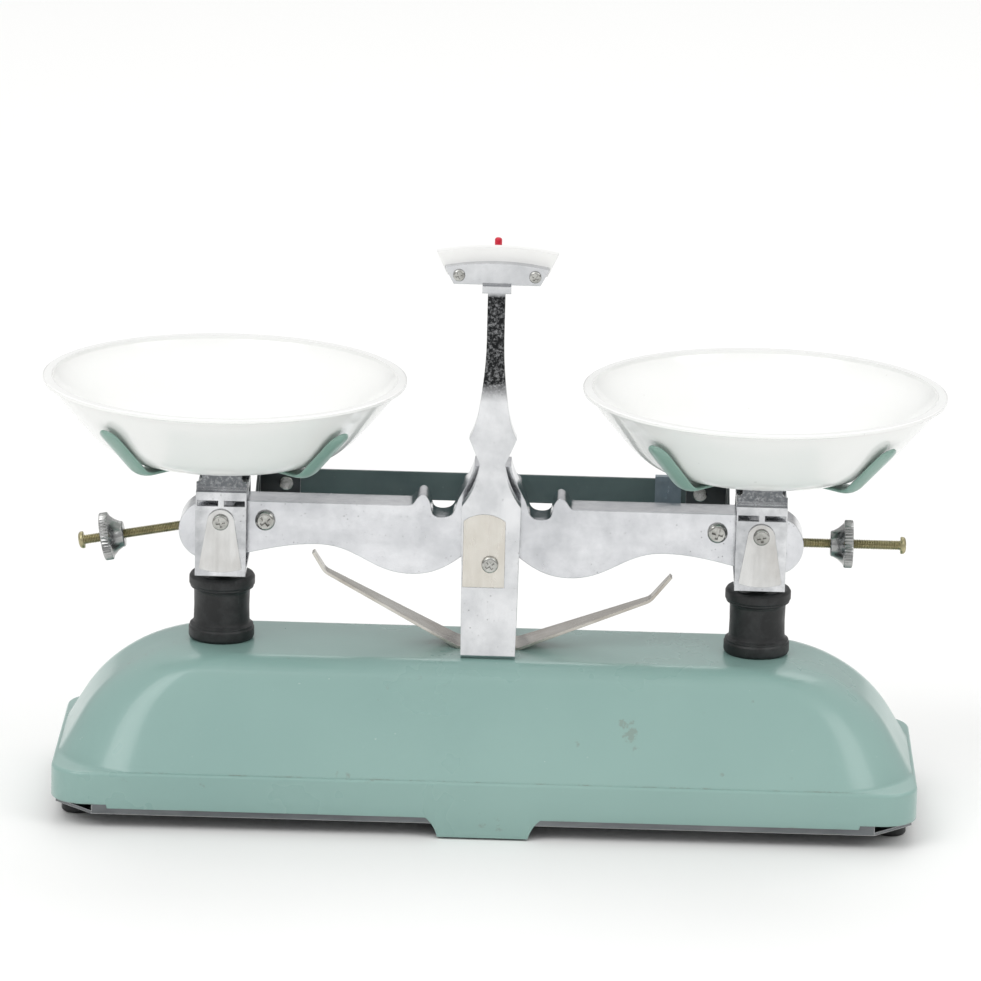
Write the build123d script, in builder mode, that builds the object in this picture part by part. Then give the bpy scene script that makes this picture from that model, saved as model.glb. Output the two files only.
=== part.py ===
from build123d import *
from math import acos, atan2, cos, radians, sin, tan
import os

os.makedirs("parts", exist_ok=True)

# Two-pan table balance with a parallel-motion linkage. Millimetres, +Z up, +X along the beam, and -Y
# towards the side that carries the beam screws. The origin is on the table, under the middle of the base.

pivot_height = 121.0  # table to all three knife edges
arm_length = 112.0  # centre knife to each end knife

# ---- base ----
base_length = 359.0
base_depth = 115.0
base_height = 68.0  # table to the flat top
base_wall = 1.6
lip_bottom = 9.0  # table to the lower edge of the lip
lip_top = 24.5
lip_corner = 15.0
corner_notch = 1.6  # the lip is cut shorter round each corner
shoulder_radius_end = 60.0  # rounding from the flat top into the end slopes
shoulder_radius_side = 14.0  # and into the front and rear slopes
end_run = 27.0  # from the top edge of an end slope out to the base's end
side_run = 26.5  # and from that of the front or rear slope
hip_top_radius = 19.0  # plan corners of the dome, at its top
hip_foot_radius = 33.0  # and where it meets the lip
end_levels = 6
side_levels = 4
tab_width = 37.5
tab_clearance = 0.8  # table to the foot of the tab
tab_flare = 5.0

# ---- bottom plate and feet ----
plate_bottom = 6.2
plate_wall = 1.4
plate_flange = 5.0
plate_corner_cut = 16.0
foot_diameter = 13.0
foot_end_inset = 10.0  # foot centre to the base's end
foot_side_inset = 26.5  # and to its front or rear
foot_screw = 3.0
foot_recess = 2.6

# ---- column ----
column_top_width = 24.4
column_foot_width = 22.6
column_depth = 48.0
column_plate = 7.0  # thickness of its front and rear plates
column_foot_height = 24.0
column_bevel = 1.6
column_screw = 4.0
column_screw_y = 13.0
column_screw_grip = 12.0
shoulder_height = 12.5  # above the pivots
neck_rise = 18.0
neck_width = 10.4
diamond_rise = 11.0
diamond_width = 19.6
taper_rise = 18.0
taper_width = 10.5
stem_rise = 23.0
stem_width = 7.2
dial_height = pivot_height + 106.0  # underside of the fan plate
fan_thickness = 4.0
fan_bottom_width = 35.5
fan_top_width = 43.0
fan_rise = 6.9
fan_crown = 2.2
collar_width = 11.8
collar_rise = 3.0
cover_thickness = 1.2
cover_width = 17.4
cover_shift = -2.6  # the cover sits to one side
cover_foot = pivot_height - 22.0
cover_side_top = pivot_height + 6.3
cover_crown = 3.0
cover_screw = 3.0
cover_screw_height = pivot_height - 12.0
window_margin = 0.5  # above the back of the knife
fan_screw_x = 15.6
fan_screw_rise = 3.7

# ---- dial and pointer ----
dial_thickness = 2.0
dial_width = 50.0
dial_foot_width = 41.0
dial_rise = 9.4
dial_lift = 3.3  # the dial's top stands this far above the fan plate's
dial_crown = 2.6
dial_rim = 2.0
dial_band = 1.8
dial_screw = 2.5
pointer_diameter = 2.4
pointer_share = 0.375  # of the beam's thickness, in front of its middle
pointer_top = pivot_height + 118.4
pointer_root = 8.0
tip_width = 3.0
tip_length = 5.2

# ---- linkage ----
guide_height = 32.0  # pivots of the lower bar
knife_width = 6.0
knife_height = 5.4
knife_tip_gap = 0.05
bearing_width = 9.0
bearing_height = 9.0
bearing_land = 5.0  # block thickness in the carriers
bearing_groove = 50.0  # degrees from upright to each flank of the groove
knife_end_gap = 0.4

# ---- beam ----
beam_share = 3  # the column's depth is this many times the beam's thickness
beam_web = 4.0
beam_rim = 3.0
arm_top = pivot_height + 8.0
arm_narrow_x = 72.0
arm_narrow_bottom = pivot_height - 9.7
belly_x = 33.0
belly_bottom = pivot_height - 21.4
hub_bottom = pivot_height - 12.5
hub_x = 11.0
disc_radius = 12.5
disc_shift = 5.5  # beyond the end knife
disc_drop = 5.0  # below the end knife
bump_x = 28.6
bump_width = 5.6
bump_top = pivot_height + 12.7
notch_x = 20.4
notch_bottom = pivot_height + 3.2
notch_flat = 3.6
wing_foot_x = 13.8
wing_foot_z = pivot_height + 11.5
wing_tip_x = 7.6
wing_top = pivot_height + 26.0
beam_screw_x = 94.0
beam_screw = 4.0
pocket_start = 30.0
pocket_end = 86.0

# ---- adjusting screws and balance nuts ----
adjuster_diameter = 4.0
adjuster_height = pivot_height - 5.4
adjuster_root = 8.0  # held inside the beam's end
adjuster_length = 40.5  # from the beam's end to under the head
adjuster_head = 7.2
left_droop = 10.5  # degrees that the left screw hangs below level
nut_diameter = 20.0
nut_rim = 3.8
nut_cone = 5.6
nut_small = 10.8
nut_knurls = 36
right_nut_place = 11.3  # from the beam's end to the nut's small end
left_nut_place = 23.5

# ---- carriers ----
carrier_width = 21.0
carrier_depth = 36.0
carrier_plate = 2.0
carrier_bottom = pivot_height - 22.0
carrier_top = pivot_height + 14.0
ledge_thickness = 3.6
slot_height = 2.4
slot_drop = 3.6  # under the ledge's top, down to the slots' top
slot_rib = 1.2
seat_rise = 10.5  # waisted seat under the pan support
seat_notch = 2.3
seat_inset = 4.0  # the seat's cheeks stand this far inside the carrier's faces
tongue_top_width = 11.4
tongue_foot_width = 17.8
tongue_top = pivot_height + 6.8
tongue_foot = pivot_height - 20.0
tongue_thickness = 1.2
tongue_screw_height = pivot_height + 1.6
tongue_screw = 3.0
stem_diameter = 8.0
stem_fork = 9.0  # the fork reaches this far above and below its pin
spigot_diameter = 5.0

# ---- sleeves ----
sleeve_body = 23.4
sleeve_flange = 27.5
sleeve_height = 28.0
sleeve_top_flange = 5.6
sleeve_foot_flange = 6.6
sleeve_split = 0.6
sleeve_bore_clearance = 0.3

# ---- lower bar ----
bar_thickness = 3.0
bar_height = 9.0
bar_pin = 3.0
guide_pin = 4.0
guide_cheek = 3.0
guide_inner = 9.0
guide_plate = 3.0
guide_width = 14.0

# ---- pan supports ----
strap_width = 11.0
strap_thickness = 2.2
strap_bend_inset = 27.0  # where the straps turn up
strap_tip_inset = 6.1  # from the pan's rim in to the tips
strap_tip_height = pivot_height + 46.9
strap_bend = 9.0
support_turn = 3.0  # degrees that each cross is turned from the diagonals
support_hub = 15.0
support_screw = 4.0
support_screw_head = 7.6

# ---- pans ----
pan_radius = 75.5
pan_knee = (21.0, 7.4)  # in from the rim and up from the floor, where the wall turns up
pan_wall_middle = (10.5, 19.4)
pan_depth = 32.0
pan_floor_inset = 33.5
pan_wall = 1.8
pan_gap = 0.1

# ---- ruler and rider ----
ruler_height = 12.0
ruler_gap = 5.0
ruler_y = column_depth / 2 + ruler_gap
ruler_bottom = pivot_height + 0.9
ruler_length = 182.0
ruler_thickness = 1.2
bracket_thickness = 1.2
rider_width = 11.0
rider_x = 73.5
rider_drop = 4.0
rider_sheet = 1.0
ruler_rivet_inset = 4.0
ruler_rivet = 3.0

# ---- stop arms ----
stop_thickness = 1.2
stop_root_width = 18.0
stop_tip_width = 5.0
stop_bend = 6.0
left_stop = [(-69.0, 98.0), (-74.0, 106.0)]
right_stop = [(67.0, 89.3), (75.5, 99.6)]

# ---- fits ----
close_fit = 0.05  # radial, for pieces fixed together
running_fit = 0.08  # radial, for a nut on its screw and a bar on its pin
open_pivot = 0.2  # radial, where the linkage is left open
slide_fit = 0.2
stem_hole_clearance = 2.0

# ---- worked out ----
half_base = base_length / 2
half_depth = base_depth / 2
top_half_length = half_base - end_run
top_half_depth = half_depth - side_run
lip_step = 1.5
slope_end = atan2(base_height - lip_top, half_base - lip_step - top_half_length)
slope_side = atan2(base_height - lip_top, half_depth - lip_step - top_half_depth)
column_front = -column_depth / 2
beam_thickness = column_depth / beam_share
beam_front = -beam_thickness / 2
pointer_y = -pointer_share * beam_thickness
carrier_front = -carrier_depth / 2
shoulder_z = pivot_height + shoulder_height
neck_z = shoulder_z + neck_rise
diamond_z = neck_z + diamond_rise
taper_z = diamond_z + taper_rise
stem_z = taper_z + stem_rise
disc_x = arm_length + disc_shift
disc_z = pivot_height - disc_drop
disc_end = disc_x + disc_radius
seat_top = carrier_top + seat_rise
strap_bottom = seat_top
strap_top = strap_bottom + strap_thickness
hub_top = strap_top + 0.6
pan_bottom = hub_top + pan_gap
pan_rim = pan_bottom + pan_depth
bearing_back = abs(column_front) - cover_thickness
bearing_foot = pivot_height - 0.55 * bearing_height
window_top = pivot_height + knife_height + window_margin


def keep(part, label):
    part.label = label
    export_step(part, f"parts/{label}.step")


def front_plane(y):
    """Upright plane at y whose normal points to -Y: local x is X and local y is Z."""
    return Plane.XZ.offset(-y)


def slope_reach(drop, top_half, slope, radius):
    """Half size of the dome at a distance below its top: a rounding, then a straight slope."""
    start = top_half - radius * tan(slope / 2)
    turn_drop = radius * (1 - cos(slope))
    if drop < turn_drop:
        return start + radius * sin(acos(1 - drop / radius))
    return start + radius * sin(slope) + (drop - turn_drop) / tan(slope)


def dome_drops():
    """Levels below the top, close together through both roundings."""
    end = [shoulder_radius_end * (1 - cos(slope_end * step / end_levels)) for step in range(end_levels + 1)]
    side = [shoulder_radius_side * (1 - cos(slope_side * step / side_levels))
            for step in range(1, side_levels)]
    return sorted(end + side + [base_height - lip_top])


def dome(inset, lower):
    """Solid of the dome, moved in by inset and down by lower."""
    hip_growth = (hip_foot_radius - hip_top_radius) / (base_height - lip_top)
    with BuildPart() as solid:
        for drop in reversed(dome_drops()):
            half_x = slope_reach(drop, top_half_length, slope_end, shoulder_radius_end) - inset
            half_y = slope_reach(drop, top_half_depth, slope_side, shoulder_radius_side) - inset
            hip = hip_top_radius + hip_growth * drop - inset
            with BuildSketch(Plane.XY.offset(base_height - drop - lower)):
                RectangleRounded(2 * half_x, 2 * half_y, hip)
        loft(ruled=True)
    return solid.part


def tab_outline():
    """Tab that hangs from the lip, with hollow flanks."""
    half = tab_width / 2
    foot = tab_clearance
    with BuildSketch() as tab:
        with BuildLine():
            Polyline((-half, foot), (half, foot))
            TangentArc((half, foot), (half + tab_flare, lip_bottom), tangent=(0.25, 1))
            Polyline((half + tab_flare, lip_bottom), (half + tab_flare, lip_bottom + 2),
                     (-half - tab_flare, lip_bottom + 2), (-half - tab_flare, lip_bottom))
            TangentArc((-half, foot), (-half - tab_flare, lip_bottom), tangent=(-0.25, 1))
        make_face()
    return tab.sketch


def base_shell():
    outer = dome(0, 0)
    inner = dome(0.6, base_wall)
    corners = [(sx * half_base, sy * half_depth) for sx in (-1, 1) for sy in (-1, 1)]
    with BuildPart() as shell:
        with BuildSketch(Plane.XY.offset(lip_bottom)):
            RectangleRounded(base_length, base_depth, lip_corner)
        extrude(amount=lip_top - lip_bottom)
        fillet(shell.edges().group_by(Axis.Z)[-1], 1.2)
        add(outer)
        with BuildSketch(Plane.XY.offset(lip_bottom)):
            RectangleRounded(base_length - 2 * base_wall, base_depth - 2 * base_wall, lip_corner - base_wall)
        extrude(amount=lip_top - base_wall - lip_bottom, mode=Mode.SUBTRACT)
        add(inner, mode=Mode.SUBTRACT)
        with BuildSketch(Plane.XY.offset(lip_bottom)):
            with Locations(*corners):
                Circle(1.6 * lip_corner)
        extrude(amount=corner_notch, mode=Mode.SUBTRACT)
        for side in (-1, 1):
            with BuildSketch(front_plane(side * half_depth)):
                add(tab_outline())
            extrude(amount=side * base_wall)
        with BuildSketch(Plane.XY.offset(base_height - 4 * base_wall)):
            with Locations((-arm_length, 0), (arm_length, 0)):
                Circle(stem_diameter / 2 + stem_hole_clearance)
            with Locations((0, -column_screw_y), (0, column_screw_y)):
                Circle(column_screw / 2 + 0.2)
        extrude(amount=8 * base_wall, mode=Mode.SUBTRACT)
    return shell.part


def foot_places():
    x = half_base - foot_end_inset
    y = half_depth - foot_side_inset
    return [(sx * x, sy * y) for sx in (-1, 1) for sy in (-1, 1)]


def bottom_plate():
    """Flat sheet with cut corners and a flange turned up along each straight side."""
    half_x = half_base - base_wall - close_fit
    half_y = half_depth - base_wall - close_fit
    side_x = half_x - plate_corner_cut
    side_y = half_y - plate_corner_cut
    with BuildPart() as plate:
        with BuildSketch(Plane.XY.offset(plate_bottom)) as sheet:
            Rectangle(2 * half_x, 2 * half_y)
            chamfer(sheet.vertices(), plate_corner_cut)
            with Locations(*foot_places()):
                Circle(foot_screw / 2 + close_fit, mode=Mode.SUBTRACT)
        extrude(amount=plate_wall)
        with BuildSketch(Plane.XY.offset(plate_bottom)):
            for sign in (-1, 1):
                with Locations((0, sign * (half_y - plate_wall / 2))):
                    Rectangle(2 * side_x, plate_wall)
                with Locations((sign * (half_x - plate_wall / 2), 0)):
                    Rectangle(plate_wall, 2 * side_y)
        extrude(amount=plate_flange)
    return plate.part


def feet():
    with BuildPart() as pads:
        with BuildSketch():
            with Locations(*foot_places()):
                Circle(foot_diameter / 2)
        extrude(amount=plate_bottom)
        fillet(pads.edges().group_by(Axis.Z)[0], 1.4)
        with BuildSketch(Plane.XY.offset(plate_bottom)):
            with Locations(*foot_places()):
                Circle(foot_screw / 2 + close_fit)
        extrude(amount=-plate_bottom, mode=Mode.SUBTRACT)
        with BuildSketch():
            with Locations(*foot_places()):
                Circle(foot_screw + 0.4)
        extrude(amount=foot_recess, mode=Mode.SUBTRACT)
    return pads.part


def cross_screw(diameter, length, head_diameter, head_height):
    """Pan-head screw with a cross recess: the head stands on +Z of its seat, the shank hangs below."""
    with BuildPart() as blank:
        with BuildSketch():
            Circle(head_diameter / 2)
        extrude(amount=head_height)
        fillet(blank.edges().group_by(Axis.Z)[-1], head_height * 0.6)
        with BuildSketch():
            Circle(diameter / 2)
        extrude(amount=-length)
        with BuildSketch(Plane.XY.offset(head_height)):
            Rectangle(head_diameter * 0.56, head_diameter * 0.15)
            Rectangle(head_diameter * 0.15, head_diameter * 0.56)
        extrude(amount=-head_height * 0.6, mode=Mode.SUBTRACT)
    return blank.part


def hex_nut(diameter, across, height):
    """Nut that stands on +Z of its seat."""
    with BuildPart() as blank:
        with BuildSketch():
            RegularPolygon(across / 2, 6, major_radius=False)
            Circle(diameter / 2 + close_fit, mode=Mode.SUBTRACT)
        extrude(amount=height)
    return blank.part


def placed(blank, seats):
    """Copies of one fastener, one at each seat."""
    copies = [seat * blank for seat in seats]
    with BuildPart() as group:
        for copy in copies:
            add(copy)
    return group.part


def facing(x, y, z, direction, turn=0):
    """Seat of a fastener whose head points along direction, turned about that direction."""
    return Plane(origin=(x, y, z), z_dir=direction).location * Rot(0, 0, turn)


def foot_screws():
    blank = cross_screw(foot_screw, 8.5, 2 * foot_screw, 1.8)
    return placed(blank, [facing(x, y, foot_recess, (0, 0, -1)) for x, y in foot_places()])


def foot_nuts():
    blank = hex_nut(foot_screw, 5.5, 2.4)
    return placed(blank, [facing(x, y, plate_bottom + plate_wall, (0, 0, 1)) for x, y in foot_places()])


def front_outline():
    """Front plate of the column: body, shoulders, neck, diamond and slim stem."""
    with BuildSketch() as outline:
        with BuildLine():
            Polyline((0, dial_height), (0, base_height), (column_foot_width / 2, base_height),
                     (column_top_width / 2, shoulder_z))
            ThreePointArc((column_top_width / 2, shoulder_z),
                          (neck_width / 2 + 2.6, shoulder_z + 0.42 * neck_rise), (neck_width / 2, neck_z))
            Line((neck_width / 2, neck_z), (diamond_width / 2, diamond_z))
            Spline((diamond_width / 2, diamond_z), (taper_width / 2, taper_z), (stem_width / 2, stem_z),
                   tangents=((-0.55, 1), (0, 1)))
            Polyline((stem_width / 2, stem_z), (stem_width / 2, dial_height), (0, dial_height))
        make_face()
        mirror(about=Plane.YZ)
    return outline.sketch


def fan_outline(foot_width, top_width, bottom, rise, crown):
    """Fan-shaped plate with an arched top."""
    top = bottom + rise
    with BuildSketch() as fan:
        with BuildLine():
            Polyline((-top_width / 2, top), (-foot_width / 2, bottom), (foot_width / 2, bottom),
                     (top_width / 2, top))
            ThreePointArc((top_width / 2, top), (0, top + crown), (-top_width / 2, top))
        make_face()
    return fan.sketch


def cover_outline():
    """Bearing cover with an arched top."""
    left = cover_shift - cover_width / 2
    right = cover_shift + cover_width / 2
    with BuildSketch() as cover:
        with BuildLine():
            Polyline((left, cover_side_top), (left, cover_foot), (right, cover_foot), (right, cover_side_top))
            ThreePointArc((right, cover_side_top), (cover_shift, cover_side_top + cover_crown),
                          (left, cover_side_top))
        make_face()
    return cover.sketch


def fan_screw_places():
    return [(sign * fan_screw_x, dial_height + fan_screw_rise) for sign in (-1, 1)]


def column():
    rear = -column_front
    with BuildPart() as post:
        with BuildSketch(front_plane(column_front)) as front:
            add(front_outline())
        extrude(amount=-column_plate)
        with BuildSketch(front_plane(rear - column_plate)):
            with BuildLine():
                Polyline((-column_foot_width / 2, base_height), (column_foot_width / 2, base_height),
                         (column_top_width / 2, shoulder_z))
                ThreePointArc((column_top_width / 2, shoulder_z), (0, shoulder_z + 6),
                              (-column_top_width / 2, shoulder_z))
                Line((-column_top_width / 2, shoulder_z), (-column_foot_width / 2, base_height))
            make_face()
        extrude(amount=-column_plate)
        with BuildSketch(Plane.XY.offset(base_height)):
            Rectangle(column_foot_width, column_depth)
        extrude(amount=column_foot_height)
        front_edge = post.edges().group_by(Axis.Z)[0].sort_by(Axis.Y)[0]
        chamfer(front_edge, column_bevel)
        with BuildSketch(front_plane(column_front + column_plate - fan_thickness)):
            add(fan_outline(fan_bottom_width, fan_top_width, dial_height, fan_rise, fan_crown))
            with Locations(*fan_screw_places()):
                Circle(dial_screw / 2 + close_fit, mode=Mode.SUBTRACT)
        extrude(amount=-fan_thickness)
        with BuildSketch(front_plane(column_front)):
            with Locations((0, dial_height - collar_rise / 2)):
                Rectangle(collar_width, collar_rise)
        extrude(amount=-column_plate)
        for side in (-1, 1):
            with BuildSketch(front_plane(side * column_front)):
                add(cover_outline())
            extrude(amount=-side * cover_thickness, mode=Mode.SUBTRACT)
            with BuildSketch(front_plane(side * column_front)):
                with Locations((0, (bearing_foot + window_top) / 2)):
                    Rectangle(bearing_width + 2 * close_fit, window_top - bearing_foot)
            extrude(amount=-side * column_plate, mode=Mode.SUBTRACT)
            with BuildSketch(front_plane(side * column_front)):
                with Locations((0, cover_screw_height)):
                    Circle(cover_screw / 2 + close_fit)
            extrude(amount=-side * column_plate, mode=Mode.SUBTRACT)
        with BuildSketch(Plane.XY.offset(base_height)):
            Rectangle(column_top_width + 2, stop_root_width + 2 * slide_fit)
        extrude(amount=stop_thickness + close_fit, mode=Mode.SUBTRACT)
        with BuildSketch(Plane.XY.offset(base_height)):
            with Locations((0, -column_screw_y), (0, column_screw_y)):
                Circle(column_screw / 2 + close_fit)
        extrude(amount=column_screw_grip, mode=Mode.SUBTRACT)
    return post.part


def column_covers():
    """Front and rear plates that close the bearing windows."""
    with BuildPart() as covers:
        for side in (-1, 1):
            with BuildSketch(front_plane(side * column_front)):
                add(cover_outline())
                offset(amount=-close_fit, mode=Mode.REPLACE)
                with Locations((0, cover_screw_height)):
                    Circle(cover_screw / 2 + close_fit, mode=Mode.SUBTRACT)
            extrude(amount=-side * cover_thickness)
    return covers.part


def column_cover_screws():
    blank = cross_screw(cover_screw, column_plate, 7.0, 1.8)
    seats = [facing(0, column_front, cover_screw_height, (0, -1, 0), 35),
             facing(0, -column_front, cover_screw_height, (0, 1, 0), 10)]
    return placed(blank, seats)


def column_screws():
    head = 2.4
    grip = guide_plate + base_wall + column_screw_grip - 1
    blank = cross_screw(column_screw, grip, 7.6, head)
    under = base_height - base_wall - guide_plate
    return placed(blank, [facing(0, y, under, (0, 0, -1)) for y in (-column_screw_y, column_screw_y)])


def block_outline(up):
    """Bearing block with a V groove whose bottom lies on the knife edge; the groove opens up or down."""
    edge = pivot_height - up * knife_tip_gap
    mouth = pivot_height + up * bearing_height * 0.45
    foot = pivot_height + up * (bearing_foot - pivot_height)
    half = bearing_width / 2
    reach = abs(mouth - edge) * tan(radians(bearing_groove))
    with BuildSketch() as block:
        with BuildLine():
            if reach < half:
                Polyline((0, edge), (reach, mouth), (half, mouth), (half, foot), (-half, foot),
                         (-half, mouth), (-reach, mouth), close=True)
            else:
                rim = edge + up * half / tan(radians(bearing_groove))
                Polyline((0, edge), (half, rim), (half, foot), (-half, foot), (-half, rim), close=True)
        make_face()
    return block.sketch


def centre_bearings():
    """Grooved steel blocks in the front and rear windows of the column."""
    land = column_plate - cover_thickness
    with BuildPart() as blocks:
        for side in (-1, 1):
            inner = side * (column_front + column_plate)
            with BuildSketch(front_plane(inner)):
                add(block_outline(1))
            extrude(amount=side * land)
    return blocks.part


def knife_outline(x, up):
    """Triangular knife with its edge on the pivot; up is the way the edge points."""
    back = pivot_height - up * knife_height
    with BuildSketch() as knife:
        with BuildLine():
            Polyline((x, pivot_height), (x + knife_width / 2, back), (x - knife_width / 2, back), close=True)
        make_face()
    return knife.sketch


def centre_knife():
    reach = bearing_back - knife_end_gap
    with BuildPart() as knife:
        with BuildSketch(front_plane(-reach)):
            add(knife_outline(0, -1))
        extrude(amount=-2 * reach)
    return knife.part


def end_knives():
    reach = -carrier_front - carrier_plate - knife_end_gap
    with BuildPart() as knives:
        for x in (-arm_length, arm_length):
            with BuildSketch(front_plane(-reach)):
                add(knife_outline(x, 1))
            extrude(amount=-2 * reach)
    return knives.part


def dial():
    """White fan plate behind the chrome one, with a rim along its arched top."""
    back = column_front + column_plate
    bottom = dial_height + fan_rise + fan_crown + dial_lift - dial_rise
    with BuildPart() as plate:
        with BuildSketch(front_plane(back)):
            add(fan_outline(dial_foot_width, dial_width, bottom, dial_rise, dial_crown))
            with Locations(*fan_screw_places()):
                Circle(dial_screw / 2 + close_fit, mode=Mode.SUBTRACT)
        extrude(amount=-dial_thickness)
        low = bottom - dial_band
        with BuildSketch(front_plane(back)):
            add(fan_outline(dial_foot_width, dial_width, bottom, dial_rise, dial_crown))
            add(fan_outline(dial_width, dial_width, low, dial_rise, dial_crown), mode=Mode.SUBTRACT)
        extrude(amount=-dial_thickness - dial_rim)
    return plate.part


def dial_screws():
    blank = cross_screw(dial_screw, fan_thickness + dial_thickness + 1.2, 5.0, 1.4)
    y = column_front + column_plate - fan_thickness
    z = dial_height + fan_screw_rise
    return placed(blank, [facing(-fan_screw_x, y, z, (0, -1, 0), 20),
                          facing(fan_screw_x, y, z, (0, -1, 0), 60)])


def stop_arms():
    """One springy strip held under the column; its two tapered arms rise towards the beam."""
    root = column_foot_width / 2 + 1.5
    low = base_height
    left_bend, left_tip = left_stop
    right_bend, right_tip = right_stop
    with BuildPart() as strip:
        with BuildSketch(front_plane(-stop_root_width / 2)):
            with BuildLine():
                FilletPolyline(left_tip, left_bend, (-root, low + stop_thickness / 2),
                               (root, low + stop_thickness / 2), right_bend, right_tip, radius=stop_bend)
            trace(line_width=stop_thickness)
        extrude(amount=-stop_root_width)
        with BuildSketch(Plane.XY.offset(low - 1)):
            Polygon((left_tip[0] - 1, -stop_tip_width / 2), (-root, -stop_root_width / 2),
                    (root, -stop_root_width / 2), (right_tip[0] + 1, -stop_tip_width / 2),
                    (right_tip[0] + 1, stop_tip_width / 2), (root, stop_root_width / 2),
                    (-root, stop_root_width / 2), (left_tip[0] - 1, stop_tip_width / 2), align=None)
        extrude(amount=pivot_height - low, mode=Mode.INTERSECT)
    return strip.part


def sleeve(x):
    """Split rubber sleeve round a carrier stem, with a flange at each end and a slightly waisted body."""
    low = base_height
    high = low + sleeve_height
    body = sleeve_body / 2
    flange = sleeve_flange / 2
    bore = stem_diameter / 2 + sleeve_bore_clearance
    with BuildPart() as tube:
        with BuildSketch(Plane.XZ):
            with BuildLine():
                Polyline((bore, low), (flange, low), (flange, low + sleeve_foot_flange - 1),
                         (body, low + sleeve_foot_flange))
                ThreePointArc((body, low + sleeve_foot_flange), (body - 0.6, low + sleeve_height / 2),
                              (body, high - sleeve_top_flange))
                Polyline((body, high - sleeve_top_flange), (flange, high - sleeve_top_flange + 1),
                         (flange, high), (bore, high), (bore, low))
            make_face()
        revolve(axis=Axis.Z)
        with BuildSketch(Plane.XY.offset(low)):
            with Locations((0, flange / 2)):
                Rectangle(sleeve_split, flange)
        extrude(amount=sleeve_height, mode=Mode.SUBTRACT)
    return tube.part.moved(Location((x, 0, 0)))


def guide_bracket():
    """Bracket under the base's top that carries the pivot of the lower bar."""
    top = base_height - base_wall
    with BuildPart() as bracket:
        with BuildSketch(Plane.XY.offset(top)):
            Rectangle(guide_width, 2 * column_screw_y + 10)
            with Locations((0, -column_screw_y), (0, column_screw_y)):
                Circle(column_screw / 2 + close_fit, mode=Mode.SUBTRACT)
        extrude(amount=-guide_plate)
        for side in (-1, 1):
            start = side * guide_inner / 2
            with BuildSketch(front_plane(start)):
                with Locations((0, (top + guide_height) / 2)):
                    Rectangle(guide_width, top - guide_height)
                with Locations((0, guide_height)):
                    Circle(guide_width / 2)
                    Circle(guide_pin / 2 + close_fit, mode=Mode.SUBTRACT)
            extrude(amount=-side * guide_cheek)
    return bracket.part


def guide_pivot_pin():
    half = guide_inner / 2 + guide_cheek + 1
    with BuildPart() as pin:
        with BuildSketch(front_plane(-half)):
            with Locations((0, guide_height)):
                Circle(guide_pin / 2)
        extrude(amount=-2 * half)
    return pin.part


def lower_bar():
    """Bar that keeps the two stems upright: pivoted in the middle, with a hole for a pin at each end."""
    with BuildPart() as bar:
        with BuildSketch(front_plane(-bar_thickness / 2)):
            with Locations((0, guide_height)):
                SlotCenterToCenter(2 * arm_length, bar_height)
                Circle(guide_pin / 2 + running_fit, mode=Mode.SUBTRACT)
            with Locations((-arm_length, guide_height), (arm_length, guide_height)):
                Circle(bar_pin / 2 + open_pivot, mode=Mode.SUBTRACT)
        extrude(amount=-bar_thickness)
        for side in (-1, 1):
            with BuildSketch(front_plane(side * bar_thickness / 2)):
                with Locations((0, guide_height)):
                    Circle(guide_pin)
                    Circle(guide_pin / 2 + running_fit, mode=Mode.SUBTRACT)
            extrude(amount=-side * (guide_inner - bar_thickness - 1) / 2)
    return bar.part


def beam_half():
    """Right half of the beam's front outline, closed along the middle line."""
    disc_foot = (disc_x - 2, disc_z - disc_radius + 0.16)
    bump_right = bump_x + bump_width / 2
    with BuildSketch() as half:
        with BuildLine():
            Spline((hub_x, hub_bottom), (belly_x, belly_bottom), tangents=((1, -0.75), (1, 0)))
            Spline((belly_x, belly_bottom), (arm_narrow_x, arm_narrow_bottom), tangents=((1, 0), (1, 0)))
            Spline((arm_narrow_x, arm_narrow_bottom), disc_foot, tangents=((1, 0), (1, -0.16)))
            Polyline(disc_foot, (disc_x, disc_z), (arm_length - 6, arm_top), (bump_right + 3, arm_top))
            Spline((bump_right + 3, arm_top), (bump_right, bump_top - 2), (bump_x, bump_top),
                   (bump_right - bump_width, bump_top - 3), (notch_x + notch_flat, notch_bottom + 0.9),
                   (notch_x, notch_bottom), (notch_x - notch_flat, notch_bottom + 1.2),
                   (wing_foot_x, wing_foot_z), tangents=((-1, 0.1), (-0.5, 1)))
            Spline((wing_foot_x, wing_foot_z), (wing_tip_x, wing_top), tangents=((-0.5, 1), (-0.2, 1)))
            Polyline((wing_tip_x, wing_top), (0, wing_top), (0, hub_bottom), (hub_x, hub_bottom))
        make_face()
    return half.sketch


def pocket_outline():
    """Hollow of the right arm, a rim's width inside its outline."""
    high = arm_top - beam_rim
    narrow = arm_narrow_bottom + beam_rim
    start = (pocket_start, belly_bottom + beam_rim + 0.6)
    with BuildSketch() as pocket:
        with BuildLine():
            Spline(start, (arm_narrow_x, narrow), tangents=((1, 0.1), (1, 0)))
            Polyline((arm_narrow_x, narrow), (pocket_end, narrow), (pocket_end, high),
                     (pocket_start, high), start)
        make_face()
    return pocket.sketch


def adjuster_plane(side):
    """Plane on the beam's end with its normal along the adjusting screw."""
    droop = radians(left_droop) if side < 0 else 0
    return Plane(origin=(side * disc_end, 0, adjuster_height), z_dir=(side * cos(droop), 0, -sin(droop)))


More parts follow.
